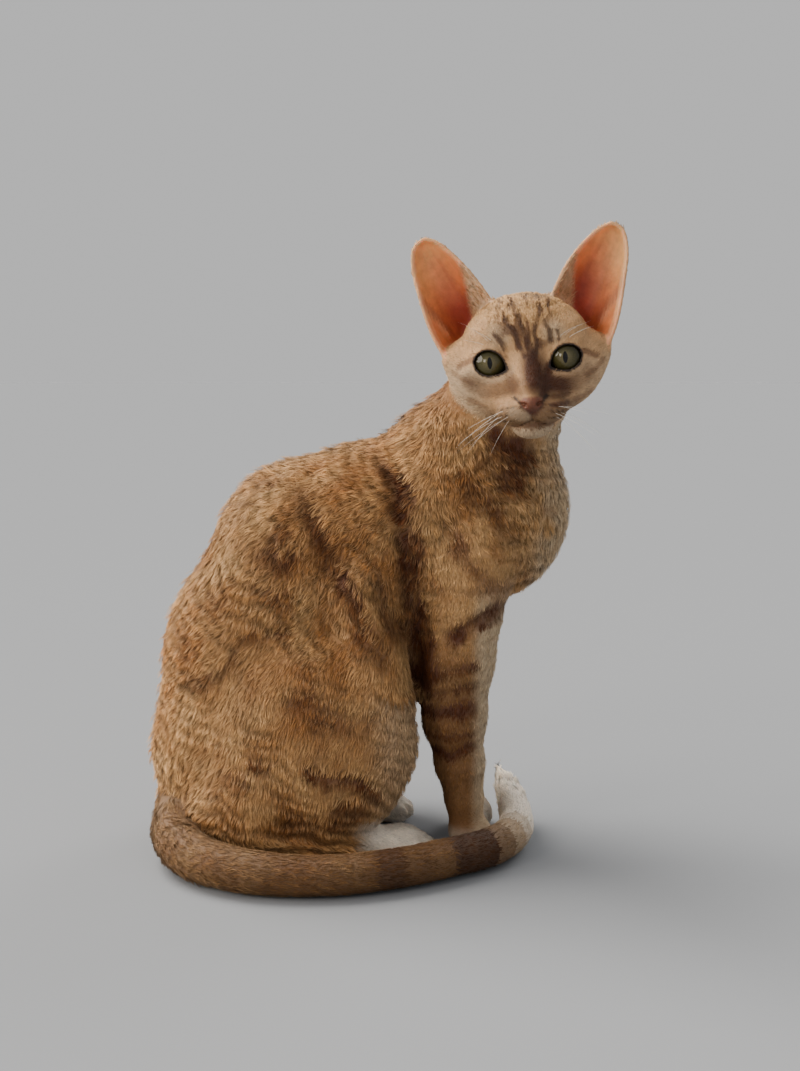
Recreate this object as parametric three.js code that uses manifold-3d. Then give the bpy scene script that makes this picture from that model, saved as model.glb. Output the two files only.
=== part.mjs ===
// A seated Devon Rex cat, life size, as a still museum model.
// Millimetres, +Z up. The body faces +X and the head is turned to look along -Y.
// Every body part is a smooth field of rounded forms, turned into a closed mesh, and the parts
// are divided by cuts a little wider than the gap that touching pieces keep.
import * as THREE from "three";
import { mergeVertices } from "three/addons/utils/BufferGeometryUtils.js";
import Module from "manifold-3d";

const wasm = await Module();
wasm.setup();

// Driving sizes
const gap = 0.3;
const seam = 0.36;
const headTop = 303;
const eyeHeight = 266;
const eyeSpacing = 38.4;
const eyeRadius = 10.4;
const eyeForward = 2.8;
const lidThickness = 1.5;
const noseReach = 29;
const chestFront = 114;
const rumpBack = -116;
const withersHeight = 228;
const thighOut = 67;
const pawSpacing = 36;
const tailRadius = 11.6;

const floorLevel = 0;
const left = 1;
const right = -1;

// Fields: each form is a function of x, y, z that is negative inside
const length3 = (x, y, z) => Math.sqrt(x * x + y * y + z * z);
const degrees = THREE.MathUtils.degToRad;

function blend(a, b, width) {
  const share = Math.max(width - Math.abs(a - b), 0) / width;
  return Math.min(a, b) - (share * share * width) / 4;
}

function ball(centre, radii, turn = [0, 0, 0]) {
  const turned = new THREE.Euler(...turn.map(degrees), "XYZ");
  const back = new THREE.Matrix4().makeRotationFromEuler(turned).transpose();
  const e = back.elements;
  const [rx, ry, rz] = radii;
  return (x, y, z) => {
    const dx = x - centre[0];
    const dy = y - centre[1];
    const dz = z - centre[2];
    const px = (e[0] * dx + e[4] * dy + e[8] * dz) / rx;
    const py = (e[1] * dx + e[5] * dy + e[9] * dz) / ry;
    const pz = (e[2] * dx + e[6] * dy + e[10] * dz) / rz;
    const reach = length3(px, py, pz);
    const slope = length3(px / rx, py / ry, pz / rz);
    return slope < 1e-9 ? -Math.min(rx, ry, rz) : (reach * (reach - 1)) / slope;
  };
}

// A limb between two points that tapers from one radius to the other; flat narrows it across Y
function limb(from, to, fromRadius, toRadius, flat = 1) {
  const ax = to[0] - from[0];
  const ay = (to[1] - from[1]) / flat;
  const az = to[2] - from[2];
  const span = ax * ax + ay * ay + az * az;
  const drop = fromRadius - toRadius;
  const rest = span - drop * drop;
  return (x, y, z) => {
    const px = x - from[0];
    const py = (y - from[1]) / flat;
    const pz = z - from[2];
    const along = px * ax + py * ay + pz * az;
    const beyond = along - span;
    const qx = px * span - ax * along;
    const qy = py * span - ay * along;
    const qz = pz * span - az * along;
    const off = qx * qx + qy * qy + qz * qz;
    const alongSq = along * along * span;
    const beyondSq = beyond * beyond * span;
    const lean = Math.sign(drop) * drop * drop * off;
    if (Math.sign(beyond) * rest * beyondSq > lean)
      return (Math.sqrt(off + beyondSq) / span - toRadius) * flat;
    if (Math.sign(along) * rest * alongSq < lean)
      return (Math.sqrt(off + alongSq) / span - fromRadius) * flat;
    return ((Math.sqrt((off * rest) / span) + along * drop) / span - fromRadius) * flat;
  };
}

function together(forms, width) {
  return (x, y, z) => forms.reduce((sum, form) => blend(sum, form(x, y, z), width), 1e3);
}

// Evenly spaced grid lines, or lines that are finer between two bounds
function lines(from, to, step, fine = null) {
  const out = [from];
  while (out.at(-1) < to) {
    const at = out.at(-1);
    const middle = fine ? (fine.from + fine.to) / 2 : 0;
    const outside = fine ? Math.max(0, Math.abs(at - middle) - (fine.to - fine.from) / 2) : step;
    out.push(at + (fine ? Math.min(step, fine.step + outside * fine.growth) : step));
  }
  return out;
}

// The corners and edges of a grid cell: corner bits 1, 2 and 4 stand for a step in x, y and z
const cellCorners = [0, 1, 2, 3, 4, 5, 6, 7];
const axes = [0, 1, 2];
const cellEdges = cellCorners.flatMap((corner) =>
  axes.filter((axis) => !(corner & (1 << axis))).map((axis) => ({ corner, end: corner + (1 << axis), axis })),
);
const edgeNumber = (corner, axis) =>
  cellEdges.findIndex((edge) => edge.corner === corner && edge.axis === axis);
const cellFaces = axes.flatMap((axis) => {
  const u = (axis + 1) % 3;
  const w = (axis + 2) % 3;
  return [0, 1 << axis].map((base) => ({
    corners: [base, base + (1 << u), base + (1 << u) + (1 << w), base + (1 << w)],
    edges: [
      edgeNumber(base, u),
      edgeNumber(base + (1 << u), w),
      edgeNumber(base + (1 << w), u),
      edgeNumber(base, w),
    ],
  }));
});

// Which crossed edges of a cell lie on one sheet of the surface
function sheetsOf(inside) {
  const sheet = cellEdges.map((edge, n) => (inside[edge.corner] === inside[edge.end] ? -1 : n));
  const join = (a, b) => {
    const [from, to] = [sheet[a], sheet[b]];
    if (from !== to) sheet.forEach((value, n) => value === from && (sheet[n] = to));
  };
  for (const face of cellFaces) {
    const crossed = face.edges.filter((edge) => sheet[edge] >= 0);
    if (crossed.length === 2) join(...crossed);
    else if (crossed.length === 4)
      face.corners.forEach((corner, n) => inside[corner] && join(face.edges[n], face.edges[(n + 3) % 4]));
  }
  return sheet;
}

// The closed mesh of a field's zero surface on a grid of lines, one vertex for each sheet in a cell
function surface(field, xs, ys, zs) {
  const grid = [xs, ys, zs];
  const [nx, ny, nz] = grid.map((along) => along.length);
  const strides = [1, nx, nx * ny];
  const value = new Float32Array(nx * ny * nz);
  for (let k = 0, n = 0; k < nz; k++)
    for (let j = 0; j < ny; j++)
      for (let i = 0; i < nx; i++, n++) {
        const edge = i === 0 || j === 0 || k === 0 || i === nx - 1 || j === ny - 1 || k === nz - 1;
        const v = field(xs[i], ys[j], zs[k]);
        value[n] = edge ? Math.max(v, 0.5) : v;
      }
  const cornerOffsets = cellCorners.map((corner) =>
    axes.reduce((sum, axis) => sum + (corner & (1 << axis) ? strides[axis] : 0), 0),
  );
  const points = [];
  const pointAt = new Map();
  const eachCell = (visit) => {
    for (let k = 0; k < nz - 1; k++)
      for (let j = 0; j < ny - 1; j++)
        for (let i = 0; i < nx - 1; i++) visit([i, j, k], i + j * nx + k * nx * ny);
  };
  eachCell((cell, here) => {
    const inside = cornerOffsets.map((offset) => value[here + offset] < 0);
    if (inside.every((is) => is === inside[0])) return;
    const sheet = sheetsOf(inside);
    const sums = new Map();
    cellEdges.forEach(({ corner, end, axis }, n) => {
      if (sheet[n] < 0) return;
      const a = value[here + cornerOffsets[corner]];
      const b = value[here + cornerOffsets[end]];
      const at = axes.map((other) => grid[other][cell[other] + ((corner >> other) & 1)]);
      at[axis] += ((grid[axis][cell[axis] + 1] - at[axis]) * a) / (a - b);
      const sum = sums.get(sheet[n]) ?? { count: 0, at: [0, 0, 0], place: points.length + sums.size };
      sums.set(sheet[n], { ...sum, count: sum.count + 1, at: sum.at.map((c, m) => c + at[m]) });
      pointAt.set(here * 12 + n, sum.place);
    });
    for (const { at, count } of sums.values()) points.push(at.map((c) => c / count));
  });
  settle(points, field);
  const triangles = [];
  const far = (a, b) => Math.hypot(...points[a].map((c, n) => c - points[b][n]));
  eachCell((cell, here) => {
    for (const axis of axes) {
      const a = value[here];
      const b = value[here + strides[axis]];
      if (a < 0 === b < 0) continue;
      const u = (axis + 1) % 3;
      const w = (axis + 2) % 3;
      const loop = [[u, w], [w], [], [u]].map((back) => {
        const offset = back.reduce((sum, other) => sum + strides[other], 0);
        const corner = back.reduce((sum, other) => sum + (1 << other), 0);
        return pointAt.get((here - offset) * 12 + edgeNumber(corner, axis));
      });
      if (b < 0) loop.reverse();
      const [p, q, r, s] = loop;
      if (far(p, r) <= far(q, s)) triangles.push(p, q, r, p, r, s);
      else triangles.push(p, q, s, q, r, s);
    }
  });
  const made = new THREE.BufferGeometry();
  made.setAttribute("position", new THREE.Float32BufferAttribute(points.flat(), 3));
  made.setIndex(triangles);
  return made;
}

// Moves each point along the field's slope until it lies on the zero surface
function settle(points, field, rounds = 2) {
  const step = 0.2;
  for (let n = 0; n < rounds; n++)
    for (const p of points) {
      const [x, y, z] = p;
      const slope = [
        field(x + step, y, z) - field(x - step, y, z),
        field(x, y + step, z) - field(x, y - step, z),
        field(x, y, z + step) - field(x, y, z - step),
      ].map((s) => s / (2 * step));
      const size = Math.max(length3(...slope), 0.3);
      const move = THREE.MathUtils.clamp(field(x, y, z) / (size * size), -1.2, 1.2);
      slope.forEach((s, axis) => (p[axis] -= s * move));
    }
}

// Solids
function solid(geometry) {
  const bare = geometry.index ? geometry.clone() : geometry;
  bare.deleteAttribute("normal");
  bare.deleteAttribute("uv");
  const merged = mergeVertices(bare, 1e-4);
  const vertProperties = new Float32Array(merged.attributes.position.array);
  const triVerts = new Uint32Array(merged.index.array);
  return new wasm.Manifold(new wasm.Mesh({ numProp: 3, vertProperties, triVerts }));
}

function geometryOf(body) {
  const mesh = body.getMesh();
  const made = new THREE.BufferGeometry();
  const xyz = new Float32Array(mesh.numVert * 3);
  for (let i = 0; i < mesh.numVert; i++)
    xyz.set(mesh.vertProperties.subarray(i * mesh.numProp, i * mesh.numProp + 3), i * 3);
  made.setAttribute("position", new THREE.BufferAttribute(xyz, 3));
  made.setIndex(new THREE.BufferAttribute(new Uint32Array(mesh.triVerts), 1));
  return made;
}

// The same body with vertices that lie closer than a hair's breadth made one
const weldReach = 0.05;
function welded(body) {
  const made = geometryOf(body);
  const { array } = made.attributes.position;
  const corners = made.index.array;
  const home = Array.from({ length: array.length / 3 }, (_, i) => i);
  const root = (i) => (home[i] === i ? i : root(home[i]));
  const apart = (a, b) => length3(...[0, 1, 2].map((axis) => array[a * 3 + axis] - array[b * 3 + axis]));
  for (let i = 0; i < corners.length; i++) {
    const a = root(corners[i]);
    const b = root(corners[i % 3 === 2 ? i - 2 : i + 1]);
    if (a !== b && apart(a, b) < weldReach) home[b] = a;
  }
  const kept = new Map();
  for (let i = 0; i < corners.length; i += 3) {
    const triangle = [...corners.slice(i, i + 3)].map(root);
    if (new Set(triangle).size < 3) continue;
    const key = [...triangle].sort((a, b) => a - b).join(" ");
    if (kept.has(key)) kept.delete(key);
    else kept.set(key, triangle);
  }
  made.setIndex([...kept.values()].flat());
  try {
    return largest(solid(made));
  } catch {
    return body;
  }
}

function placed(body, matrix) {
  return solid(geometryOf(body).applyMatrix4(matrix));
}

// The same mesh with every vertex moved out along its normal
function swollen(body, by) {
  const made = geometryOf(body);
  made.computeVertexNormals();
  const { position, normal } = made.attributes;
  for (let i = 0; i < position.count; i++)
    position.setXYZ(
      i,
      position.getX(i) + normal.getX(i) * by,
      position.getY(i) + normal.getY(i) * by,
      position.getZ(i) + normal.getZ(i) * by,
    );
  return solid(made);
}

function largest(body) {
  return body.decompose().reduce((best, next) => (next.volume() > best.volume() ? next : best));
}

// A large block whose one face passes through the point; the block lies on the normal's side
const blockSize = 700;
function beyond(point, normal, shift = 0) {
  const direction = new THREE.Vector3(...normal).normalize();
  const block = new THREE.BoxGeometry(blockSize, blockSize, blockSize).translate(0, 0, blockSize / 2 + shift);
  block.applyQuaternion(new THREE.Quaternion().setFromUnitVectors(new THREE.Vector3(0, 0, 1), direction));
  block.translate(...point);
  return solid(block);
}

const aboveFloor = beyond([0, 0, floorLevel], [0, 0, 1]);

// Torso and neck
const torsoForms = [
  ball([chestFront - 38, 0, 179], [38, 35, 46], [0, 22, 0]),
  ball([38, 0, withersHeight - 40], [42, 37, 45]),
  ball([4, 0, 163], [54, 44, 60]),
  ball([-34, 0, 142], [51, 49, 71]),
  ball([-59, 0, 97], [51, 50, 70]),
  ball([rumpBack + 55, 0, 54], [55, 50, 57]),
  ball([-14, 0, 92], [36, 38, 62]),
  ball([50, 0, withersHeight - 6], [31, 29, 24]),
];
for (const side of [left, right]) {
  torsoForms.push(ball([40, side * 22, 178], [24, 17, 47], [0, 22, 0]));
  torsoForms.push(limb([1, side * 38, 146], [13, side * 41, 98], 17, 18));
}
const neckForm = limb([62, 0, 198], [80, 0, 246], 42, 32, 0.84);
const coatSink = 1.2;
const torsoCore = together([...torsoForms, neckForm], 12);
const torsoField = (x, y, z) => torsoCore(x, y, z) + coatSink;

// Head, in its own frame: the origin lies midway between the eyes, and the face looks along -Y
const eyeX = eyeSpacing / 2;
function bothSides(make) {
  return [left, right].map(make);
}

const skullForms = [
  ball([0, 24, 5], [33, 33, headTop - eyeHeight - 7]),
  ball([0, 7, 13], [31, 21, 19]),
  ball([0, 18, -10], [30, 26, 20]),
  limb([0, -8, -28], [0, 14, -21], 7.5, 16),
  ...bothSides((side) => ball([side * 22.5, 10, -5], [17.5, 20, 14.5])),
  ...bothSides((side) => limb([side * 20, 8, -12], [side * 7, -8, -25], 12, 8)),
  ...bothSides((side) => ball([side * 17, -2.5, 11], [11.5, 8, 6.5], [0, side * -10, 0])),
  ...bothSides((side) => ball([side * 33, 12, 3], [10.5, 13, 9])),
  ...bothSides((side) => ball([side * 10, -5.6, -12], [9.5, 10, 8.6])),
];
const muzzleForms = [
  limb([0, -3.6, 3], [0, -noseReach + 8.5, -14.5], 9.4, 6.6),
  ball([0, -noseReach + 5.6, -21], [6, 5.8, 4.6]),
  ball([0, -14, -34], [9.4, 9, 5.6]),
  ...bothSides((side) => ball([side * 7.6, -16.8, -25.4], [10.6, 9.4, 6.9], [0, 0, side * 20])),
];
const skullField = together(skullForms, 8);
const muzzleField = together(muzzleForms, 3.4);
const lidRadius = eyeRadius + lidThickness;
const lidForms = bothSides((side) => ball([side * eyeX, -eyeForward, 0], [lidRadius, lidRadius, lidRadius]));
const headField = (x, y, z) => {
  const face = blend(skullField(x, y, z), muzzleField(x, y, z), 6);
  return lidForms.reduce((sum, lid) => blend(sum, lid(x, y, z), 3), face);
};

// Head placement in the body
const headPlace = new THREE.Group();
headPlace.position.set(87, -40, eyeHeight);
headPlace.rotation.set(degrees(-1.6), degrees(-4.67), degrees(-3.6), "ZXY");
headPlace.updateMatrixWorld(true);
const headMatrix = headPlace.matrixWorld.clone();
const intoHead = headMatrix.clone().invert();

function headInBody(x, y, z) {
  const e = intoHead.elements;
  return headField(
    e[0] * x + e[4] * y + e[8] * z + e[12],
    e[1] * x + e[5] * y + e[9] * z + e[13],
    e[2] * x + e[6] * y + e[10] * z + e[14],
  );
}

// Legs, each field made from where its paw stands
const pawPlaces = {
  foreleg_left: [63, pawSpacing / 2 - 2],
  foreleg_right: [61, -pawSpacing / 2 - 2],
  hindleg_left: [14, 26],
  hindleg_right: [25, -37],
};
function toesOf(pawX, pawY, spread) {
  return [-1.5, -0.5, 0.5, 1.5].map((n) =>
    ball([pawX + spread - Math.abs(n) * 3, pawY + n * 6.2, 6.2], [8.4, 4, 6.7], [0, 0, n * 7]),
  );
}
function withToes(body, toes) {
  return (x, y, z) => toes.reduce((sum, toe) => blend(sum, toe(x, y, z), 1.6), body(x, y, z));
}
function forelegField(side) {
  const [pawX, pawY] = pawPlaces[side === left ? "foreleg_left" : "foreleg_right"];
  const forms = [
    limb([62, side * 30, 162], [52, side * 27, 106], 22, 20, 0.78),
    limb([52, side * 27, 106], [51, pawY + side * 5, 76], 20, 17.4, 0.78),
    limb([51, pawY + side * 5, 76], [54.5, pawY + side * 2, 48], 17.4, 13, 0.82),
    limb([54.5, pawY + side * 2, 48], [pawX - 4, pawY, 28], 13, 10.2, 0.95),
    limb([pawX - 4, pawY, 28], [pawX - 2.5, pawY, 13], 10.2, 9.6),
    ball([pawX, pawY, 8], [12.5, 11.3, 9.6]),
  ];
  return withToes(together(forms, 6), toesOf(pawX, pawY, 6));
}

function hindlegField(side) {
  const [pawX, pawY] = pawPlaces[side === left ? "hindleg_left" : "hindleg_right"];
  const middle = [-4, (pawY + side * 46) / 2, 9.6];
  const forms = [
    ball([-22, side * (thighOut - 22), 64], [51, 21, 56], [0, 12, 0]),
    ball([4, side * (thighOut - 24), 72], [27, 20, 34], [0, -12, 0]),
    ball([-52, side * 44, 38], [27, 20, 27]),
    limb([-50, side * 48, 12], middle, 12.4, 10.5),
    limb(middle, [pawX - 4, pawY, 8.5], 10.5, 9.5),
    ball([pawX, pawY, 8], [13, 11.5, 9]),
  ];
  return withToes(together(forms, 8), toesOf(pawX, pawY, 10));
}

const legFields = {
  foreleg_left: forelegField(left),
  foreleg_right: forelegField(right),
  hindleg_left: hindlegField(left),
  hindleg_right: hindlegField(right),
};
const legBlend = 11;
const legsField = (x, y, z) => Math.min(...Object.values(legFields).map((leg) => leg(x, y, z)));
const bodyField = (x, y, z) => blend(torsoField(x, y, z), legsField(x, y, z), legBlend);
const tailHead = limb([-78, 4, 36], [-97, -20, 21], 22, 15.5);
const trunkField = (x, y, z) =>
  blend(blend(bodyField(x, y, z), headInBody(x, y, z), 14), tailHead(x, y, z), 9);

// Coat: rounded clumps set close over the trunk and the thighs, each lying back and down the body
const clumpLength = 30;
const clumpWidth = 21;
const clumpThick = 8;
const clumpRise = 2.9;
const clumpSpacing = 17;
const clumpCrease = 1;
const clumpTries = 9000;
const clumpLie = new THREE.Vector3(-0.4, 0, -0.9);
const coatFrom = [-130, -86, 34];
const coatTo = [118, 86, 232];

function seeded(seed) {
  let state = seed;
  return () => {
    state = (state * 1664525 + 1013904223) % 4294967296;
    return state / 4294967296;
  };
}

function slopeOf(field, [x, y, z], step = 0.4) {
  return new THREE.Vector3(
    field(x + step, y, z) - field(x - step, y, z),
    field(x, y + step, z) - field(x, y - step, z),
    field(x, y, z + step) - field(x, y, z - step),
  ).normalize();
}

// One clump: an ellipsoid whose length lies along the coat and whose thickness stands on the skin
function clumpAt(at, out, size) {
  const lie = clumpLie.clone().addScaledVector(out, -clumpLie.dot(out)).normalize();
  const across = new THREE.Vector3().crossVectors(out, lie);
  const centre = at.clone().addScaledVector(out, (clumpRise - clumpThick) * size);
  const axesOf = [
    [lie, (clumpLength / 2) * size],
    [across, (clumpWidth / 2) * size],
    [out, clumpThick * size],
  ];
  const field = (x, y, z) => {
    const parts = axesOf.map(([axis, radius]) => {
      const share = (axis.x * (x - centre.x) + axis.y * (y - centre.y) + axis.z * (z - centre.z)) / radius;
      return [share, share / radius];
    });
    const reach = length3(...parts.map((part) => part[0]));
    const slope = length3(...parts.map((part) => part[1]));
    return slope < 1e-9 ? -clumpThick : (reach * (reach - 1)) / slope;
  };
  return { centre, field };
}

// The coat grows on the trunk and the thighs, and stops short of the forelegs, the paws and the head
function growsCoat([x, y, z]) {
  const onForeleg = legFields.foreleg_left(x, y, z) < 6 || legFields.foreleg_right(x, y, z) < 6;
  return !onForeleg && headInBody(x, y, z) > 14 && z > coatFrom[2];
}

const hashCell = 18;
const hashKey = (x, y, z) => [x, y, z].map((c) => Math.round(c / hashCell)).join(" ");
function clumpsOver(field) {
  const random = seeded(7);
  const found = [];
  for (let n = 0; n < clumpTries; n++) {
    const at = coatFrom.map((from, axis) => from + random() * (coatTo[axis] - from));
    const size = 0.85 + 0.3 * random();
    settle([at], field, 12);
    if (Math.abs(field(...at)) > 0.5 || !growsCoat(at)) continue;
    const point = new THREE.Vector3(...at);
    if (found.some((other) => other.point.distanceTo(point) < clumpSpacing * size)) continue;
    found.push({ point, ...clumpAt(point, slopeOf(field, at), size) });
  }
  return found;
}
const clumps = clumpsOver(bodyField);
const clumpsNear = new Map();
for (const { centre, field } of clumps)
  for (const dx of [-1, 0, 1])
    for (const dy of [-1, 0, 1])
      for (const dz of [-1, 0, 1]) {
        const key = hashKey(centre.x + dx * hashCell, centre.y + dy * hashCell, centre.z + dz * hashCell);
        clumpsNear.set(key, [...(clumpsNear.get(key) ?? []), field]);
      }
function coated(core) {
  return (x, y, z) => {
    const near = clumpsNear.get(hashKey(x, y, z)) ?? [];
    return near.reduce((sum, clump) => blend(sum, clump(x, y, z), clumpCrease), core(x, y, z));
  };
}

// Tail, a tube with its own radius at each point of a curve
const tailSide = tailRadius - 0.6;
const tailSides = 12;
const tailSteps = 29;
const tailCuts = { tail_root: 0.34, tail_side: 0.52, tail_bend: 0.74 };
const tailPath = [
  [-72, 8, 42, 16],
  [-90, -10, 28, 16],
  [-98, -34, 17, 15.2],
  [-88, -64, 13, 13.8],
  [-60, -86, 11.8, 12.4],
  [-22, -92, tailSide, tailRadius],
  [14, -84, tailSide, tailRadius],
  [46, -67, tailSide, tailRadius],
  [72, -48, tailSide, tailRadius],
  [84.5, -24, tailSide + 0.2, tailRadius - 0.3],
  [86.5, 0, tailSide + 2, tailRadius - 1],
  [84, 20, tailSide + 8.5, tailRadius - 2.6],
  [79, 32, tailSide + 17, 3],
];
function tube(path, sides, steps) {
  const curve = new THREE.CatmullRomCurve3(path.map(([x, y, z]) => new THREE.Vector3(x, y, z)));
  const radius = new THREE.CatmullRomCurve3(path.map((p, n) => new THREE.Vector3(p[3], n, 0)));
  const points = [];
  const triangles = [];
  for (let i = 0; i <= steps; i++) {
    const t = i / steps;
    const centre = curve.getPoint(t);
    const along = curve.getTangent(t);
    const across = new THREE.Vector3(0, 0, 1).cross(along).normalize();
    const up = along.clone().cross(across);
    const r = radius.getPoint(t).x;
    for (let s = 0; s < sides; s++) {
      const angle = ((s + 0.5) / sides) * 2 * Math.PI;
      points.push(
        centre.clone().addScaledVector(across, r * Math.cos(angle)).addScaledVector(up, r * Math.sin(angle)),
      );
    }
  }
  points.push(curve.getPoint(0), curve.getPoint(1));
  for (let i = 0; i < steps; i++)
    for (let s = 0; s < sides; s++) {
      const a = i * sides + s;
      const b = i * sides + ((s + 1) % sides);
      triangles.push(a, b, b + sides, a, b + sides, a + sides);
    }
  for (let s = 0; s < sides; s++) {
    const next = (s + 1) % sides;
    triangles.push(points.length - 2, next, s);
    triangles.push(points.length - 1, steps * sides + s, steps * sides + next);
  }
  const made = new THREE.BufferGeometry();
  made.setAttribute("position", new THREE.Float32BufferAttribute(points.flatMap((p) => [p.x, p.y, p.z]), 3));
  made.setIndex(triangles);
  return { geometry: made, curve };
}

// Body solids
const trunkStep = 8.1;
const trunkLines = [[-134, 132], [-86, 86], [-9, 262]].map(([from, to]) => lines(from, to, trunkStep));
const trunkMesh = solid(surface(coated(trunkField), ...trunkLines));
const neckTopPoint = [83, -50, 219];
const neckTopNormal = [0.42, -0.12, 0.9];
const neckBasePoint = [66, 0, 205];
const neckBaseNormal = [0.39, 0, 0.92];

const legNames = Object.keys(legFields);
const legCutters = {};
const legs = {};
const paws = {};
const cutterStep = 17;
const cutterMargin = 4;
const legSteps = { fore: 9.6, hind: 8.8 };
const pawStep = 4.2;
const pawGrowth = 0.24;
const ankles = {
  fore: { point: [60, 0, 21], normal: [0.1, 0, -1] },
  hind: { point: [-20, 0, 15], normal: [0.35, 0, -0.94] },
};
for (const name of legNames) {
  const [kind, sideName] = name.split("leg_");
  const side = sideName === "left" ? left : right;
  const fore = kind === "fore";
  const legStep = legSteps[kind];
  const field = legFields[name];
  const top = fore ? 196 : 140;
  const cutAround = (x, y, z) => field(x, y, z) - cutterMargin;
  const cutterRanges = [[-104, 116], [-96, 96], [-24, top + 24]];
  const cutterLines = cutterRanges.map(([from, to]) => lines(from, to, cutterStep));
  legCutters[name] = solid(surface(cutAround, ...cutterLines));
  const ySide = (from, to, fine) => {
    const ys = lines(from, to, legStep, fine);
    return side === left ? ys : ys.map((y) => -y).reverse();
  };
  const bare = (x, y, z) => blend(torsoField(x, y, z), field(x, y, z), legBlend);
  const joined = fore ? bare : coated(bare);
  const upper = solid(surface(joined, lines(-92, 104, legStep), ySide(-6, 88), lines(-7, top, legStep)));
  const [pawFront, pawSideways] = pawPlaces[name];
  const pawFrom = fore ? 58 : pawFront - 10;
  const pawTo = fore ? 84 : pawFront + 18;
  const pawX = { from: pawFrom, to: pawTo, step: pawStep, growth: pawGrowth };
  const pawMiddle = Math.abs(pawSideways);
  const pawY = { from: pawMiddle - 13, to: pawMiddle + 13, step: pawStep, growth: pawGrowth };
  const pawZ = { from: -4, to: 12, step: pawStep, growth: pawGrowth };
  const footX = lines(fore ? 30 : -92, fore ? 100 : pawTo + 16, legStep, pawX);
  const foot = solid(surface(joined, footX, ySide(-6, 88, pawY), lines(-4, 60, legStep, pawZ)));
  const { point, normal } = ankles[kind];
  const footSide = beyond(point, normal, gap / 2);
  const legSide = beyond(point, normal, -gap / 2);
  paws[name] = largest(foot.intersect(aboveFloor).intersect(legCutters[name]).intersect(footSide));
  legs[name] = largest(upper.intersect(aboveFloor).intersect(legCutters[name]).subtract(legSide));
}
let torso = trunkMesh.intersect(aboveFloor);
for (const name of legNames) torso = torso.subtract(swollen(legCutters[name], seam));
const neck = largest(
  torso
    .intersect(beyond(neckBasePoint, neckBaseNormal, gap / 2))
    .subtract(beyond(neckTopPoint, neckTopNormal, -gap / 2)),
);
torso = largest(torso.subtract(beyond(neckBasePoint, neckBaseNormal, -gap / 2)));
for (const side of ["left", "right"]) {
  const hind = "hindleg_" + side;
  legs[hind] = largest(legs[hind].subtract(swollen(legs["foreleg_" + side], seam)));
}

// Head solid, on a grid that is finest over the face
const faceStep = 3.2;
const fineX = { from: -14, to: 14, step: faceStep, growth: 0.2 };
const fineY = { from: -31, to: -15, step: faceStep, growth: 0.22 };
const fineZ = { from: -33, to: -8, step: faceStep, growth: 0.2 };
const outOfHead = headMatrix.elements;
const wholeFromHead = (x, y, z) => {
  const wx = outOfHead[0] * x + outOfHead[4] * y + outOfHead[8] * z + outOfHead[12];
  const wy = outOfHead[1] * x + outOfHead[5] * y + outOfHead[9] * z + outOfHead[13];
  const wz = outOfHead[2] * x + outOfHead[6] * y + outOfHead[10] * z + outOfHead[14];
  return blend(headField(x, y, z), torsoField(wx, wy, wz), 14);
};
const headStep = 8.8;
const headMesh = solid(
  surface(
    wholeFromHead,
    lines(-60, 60, headStep, fineX),
    lines(-36, 86, headStep, fineY),
    lines(-64, 44, headStep, fineZ),
  ),
);
const headSide = placed(beyond(neckTopPoint, neckTopNormal, gap / 2), intoHead);
const skull = largest(headMesh.intersect(headSide));
let head = skull;

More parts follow.
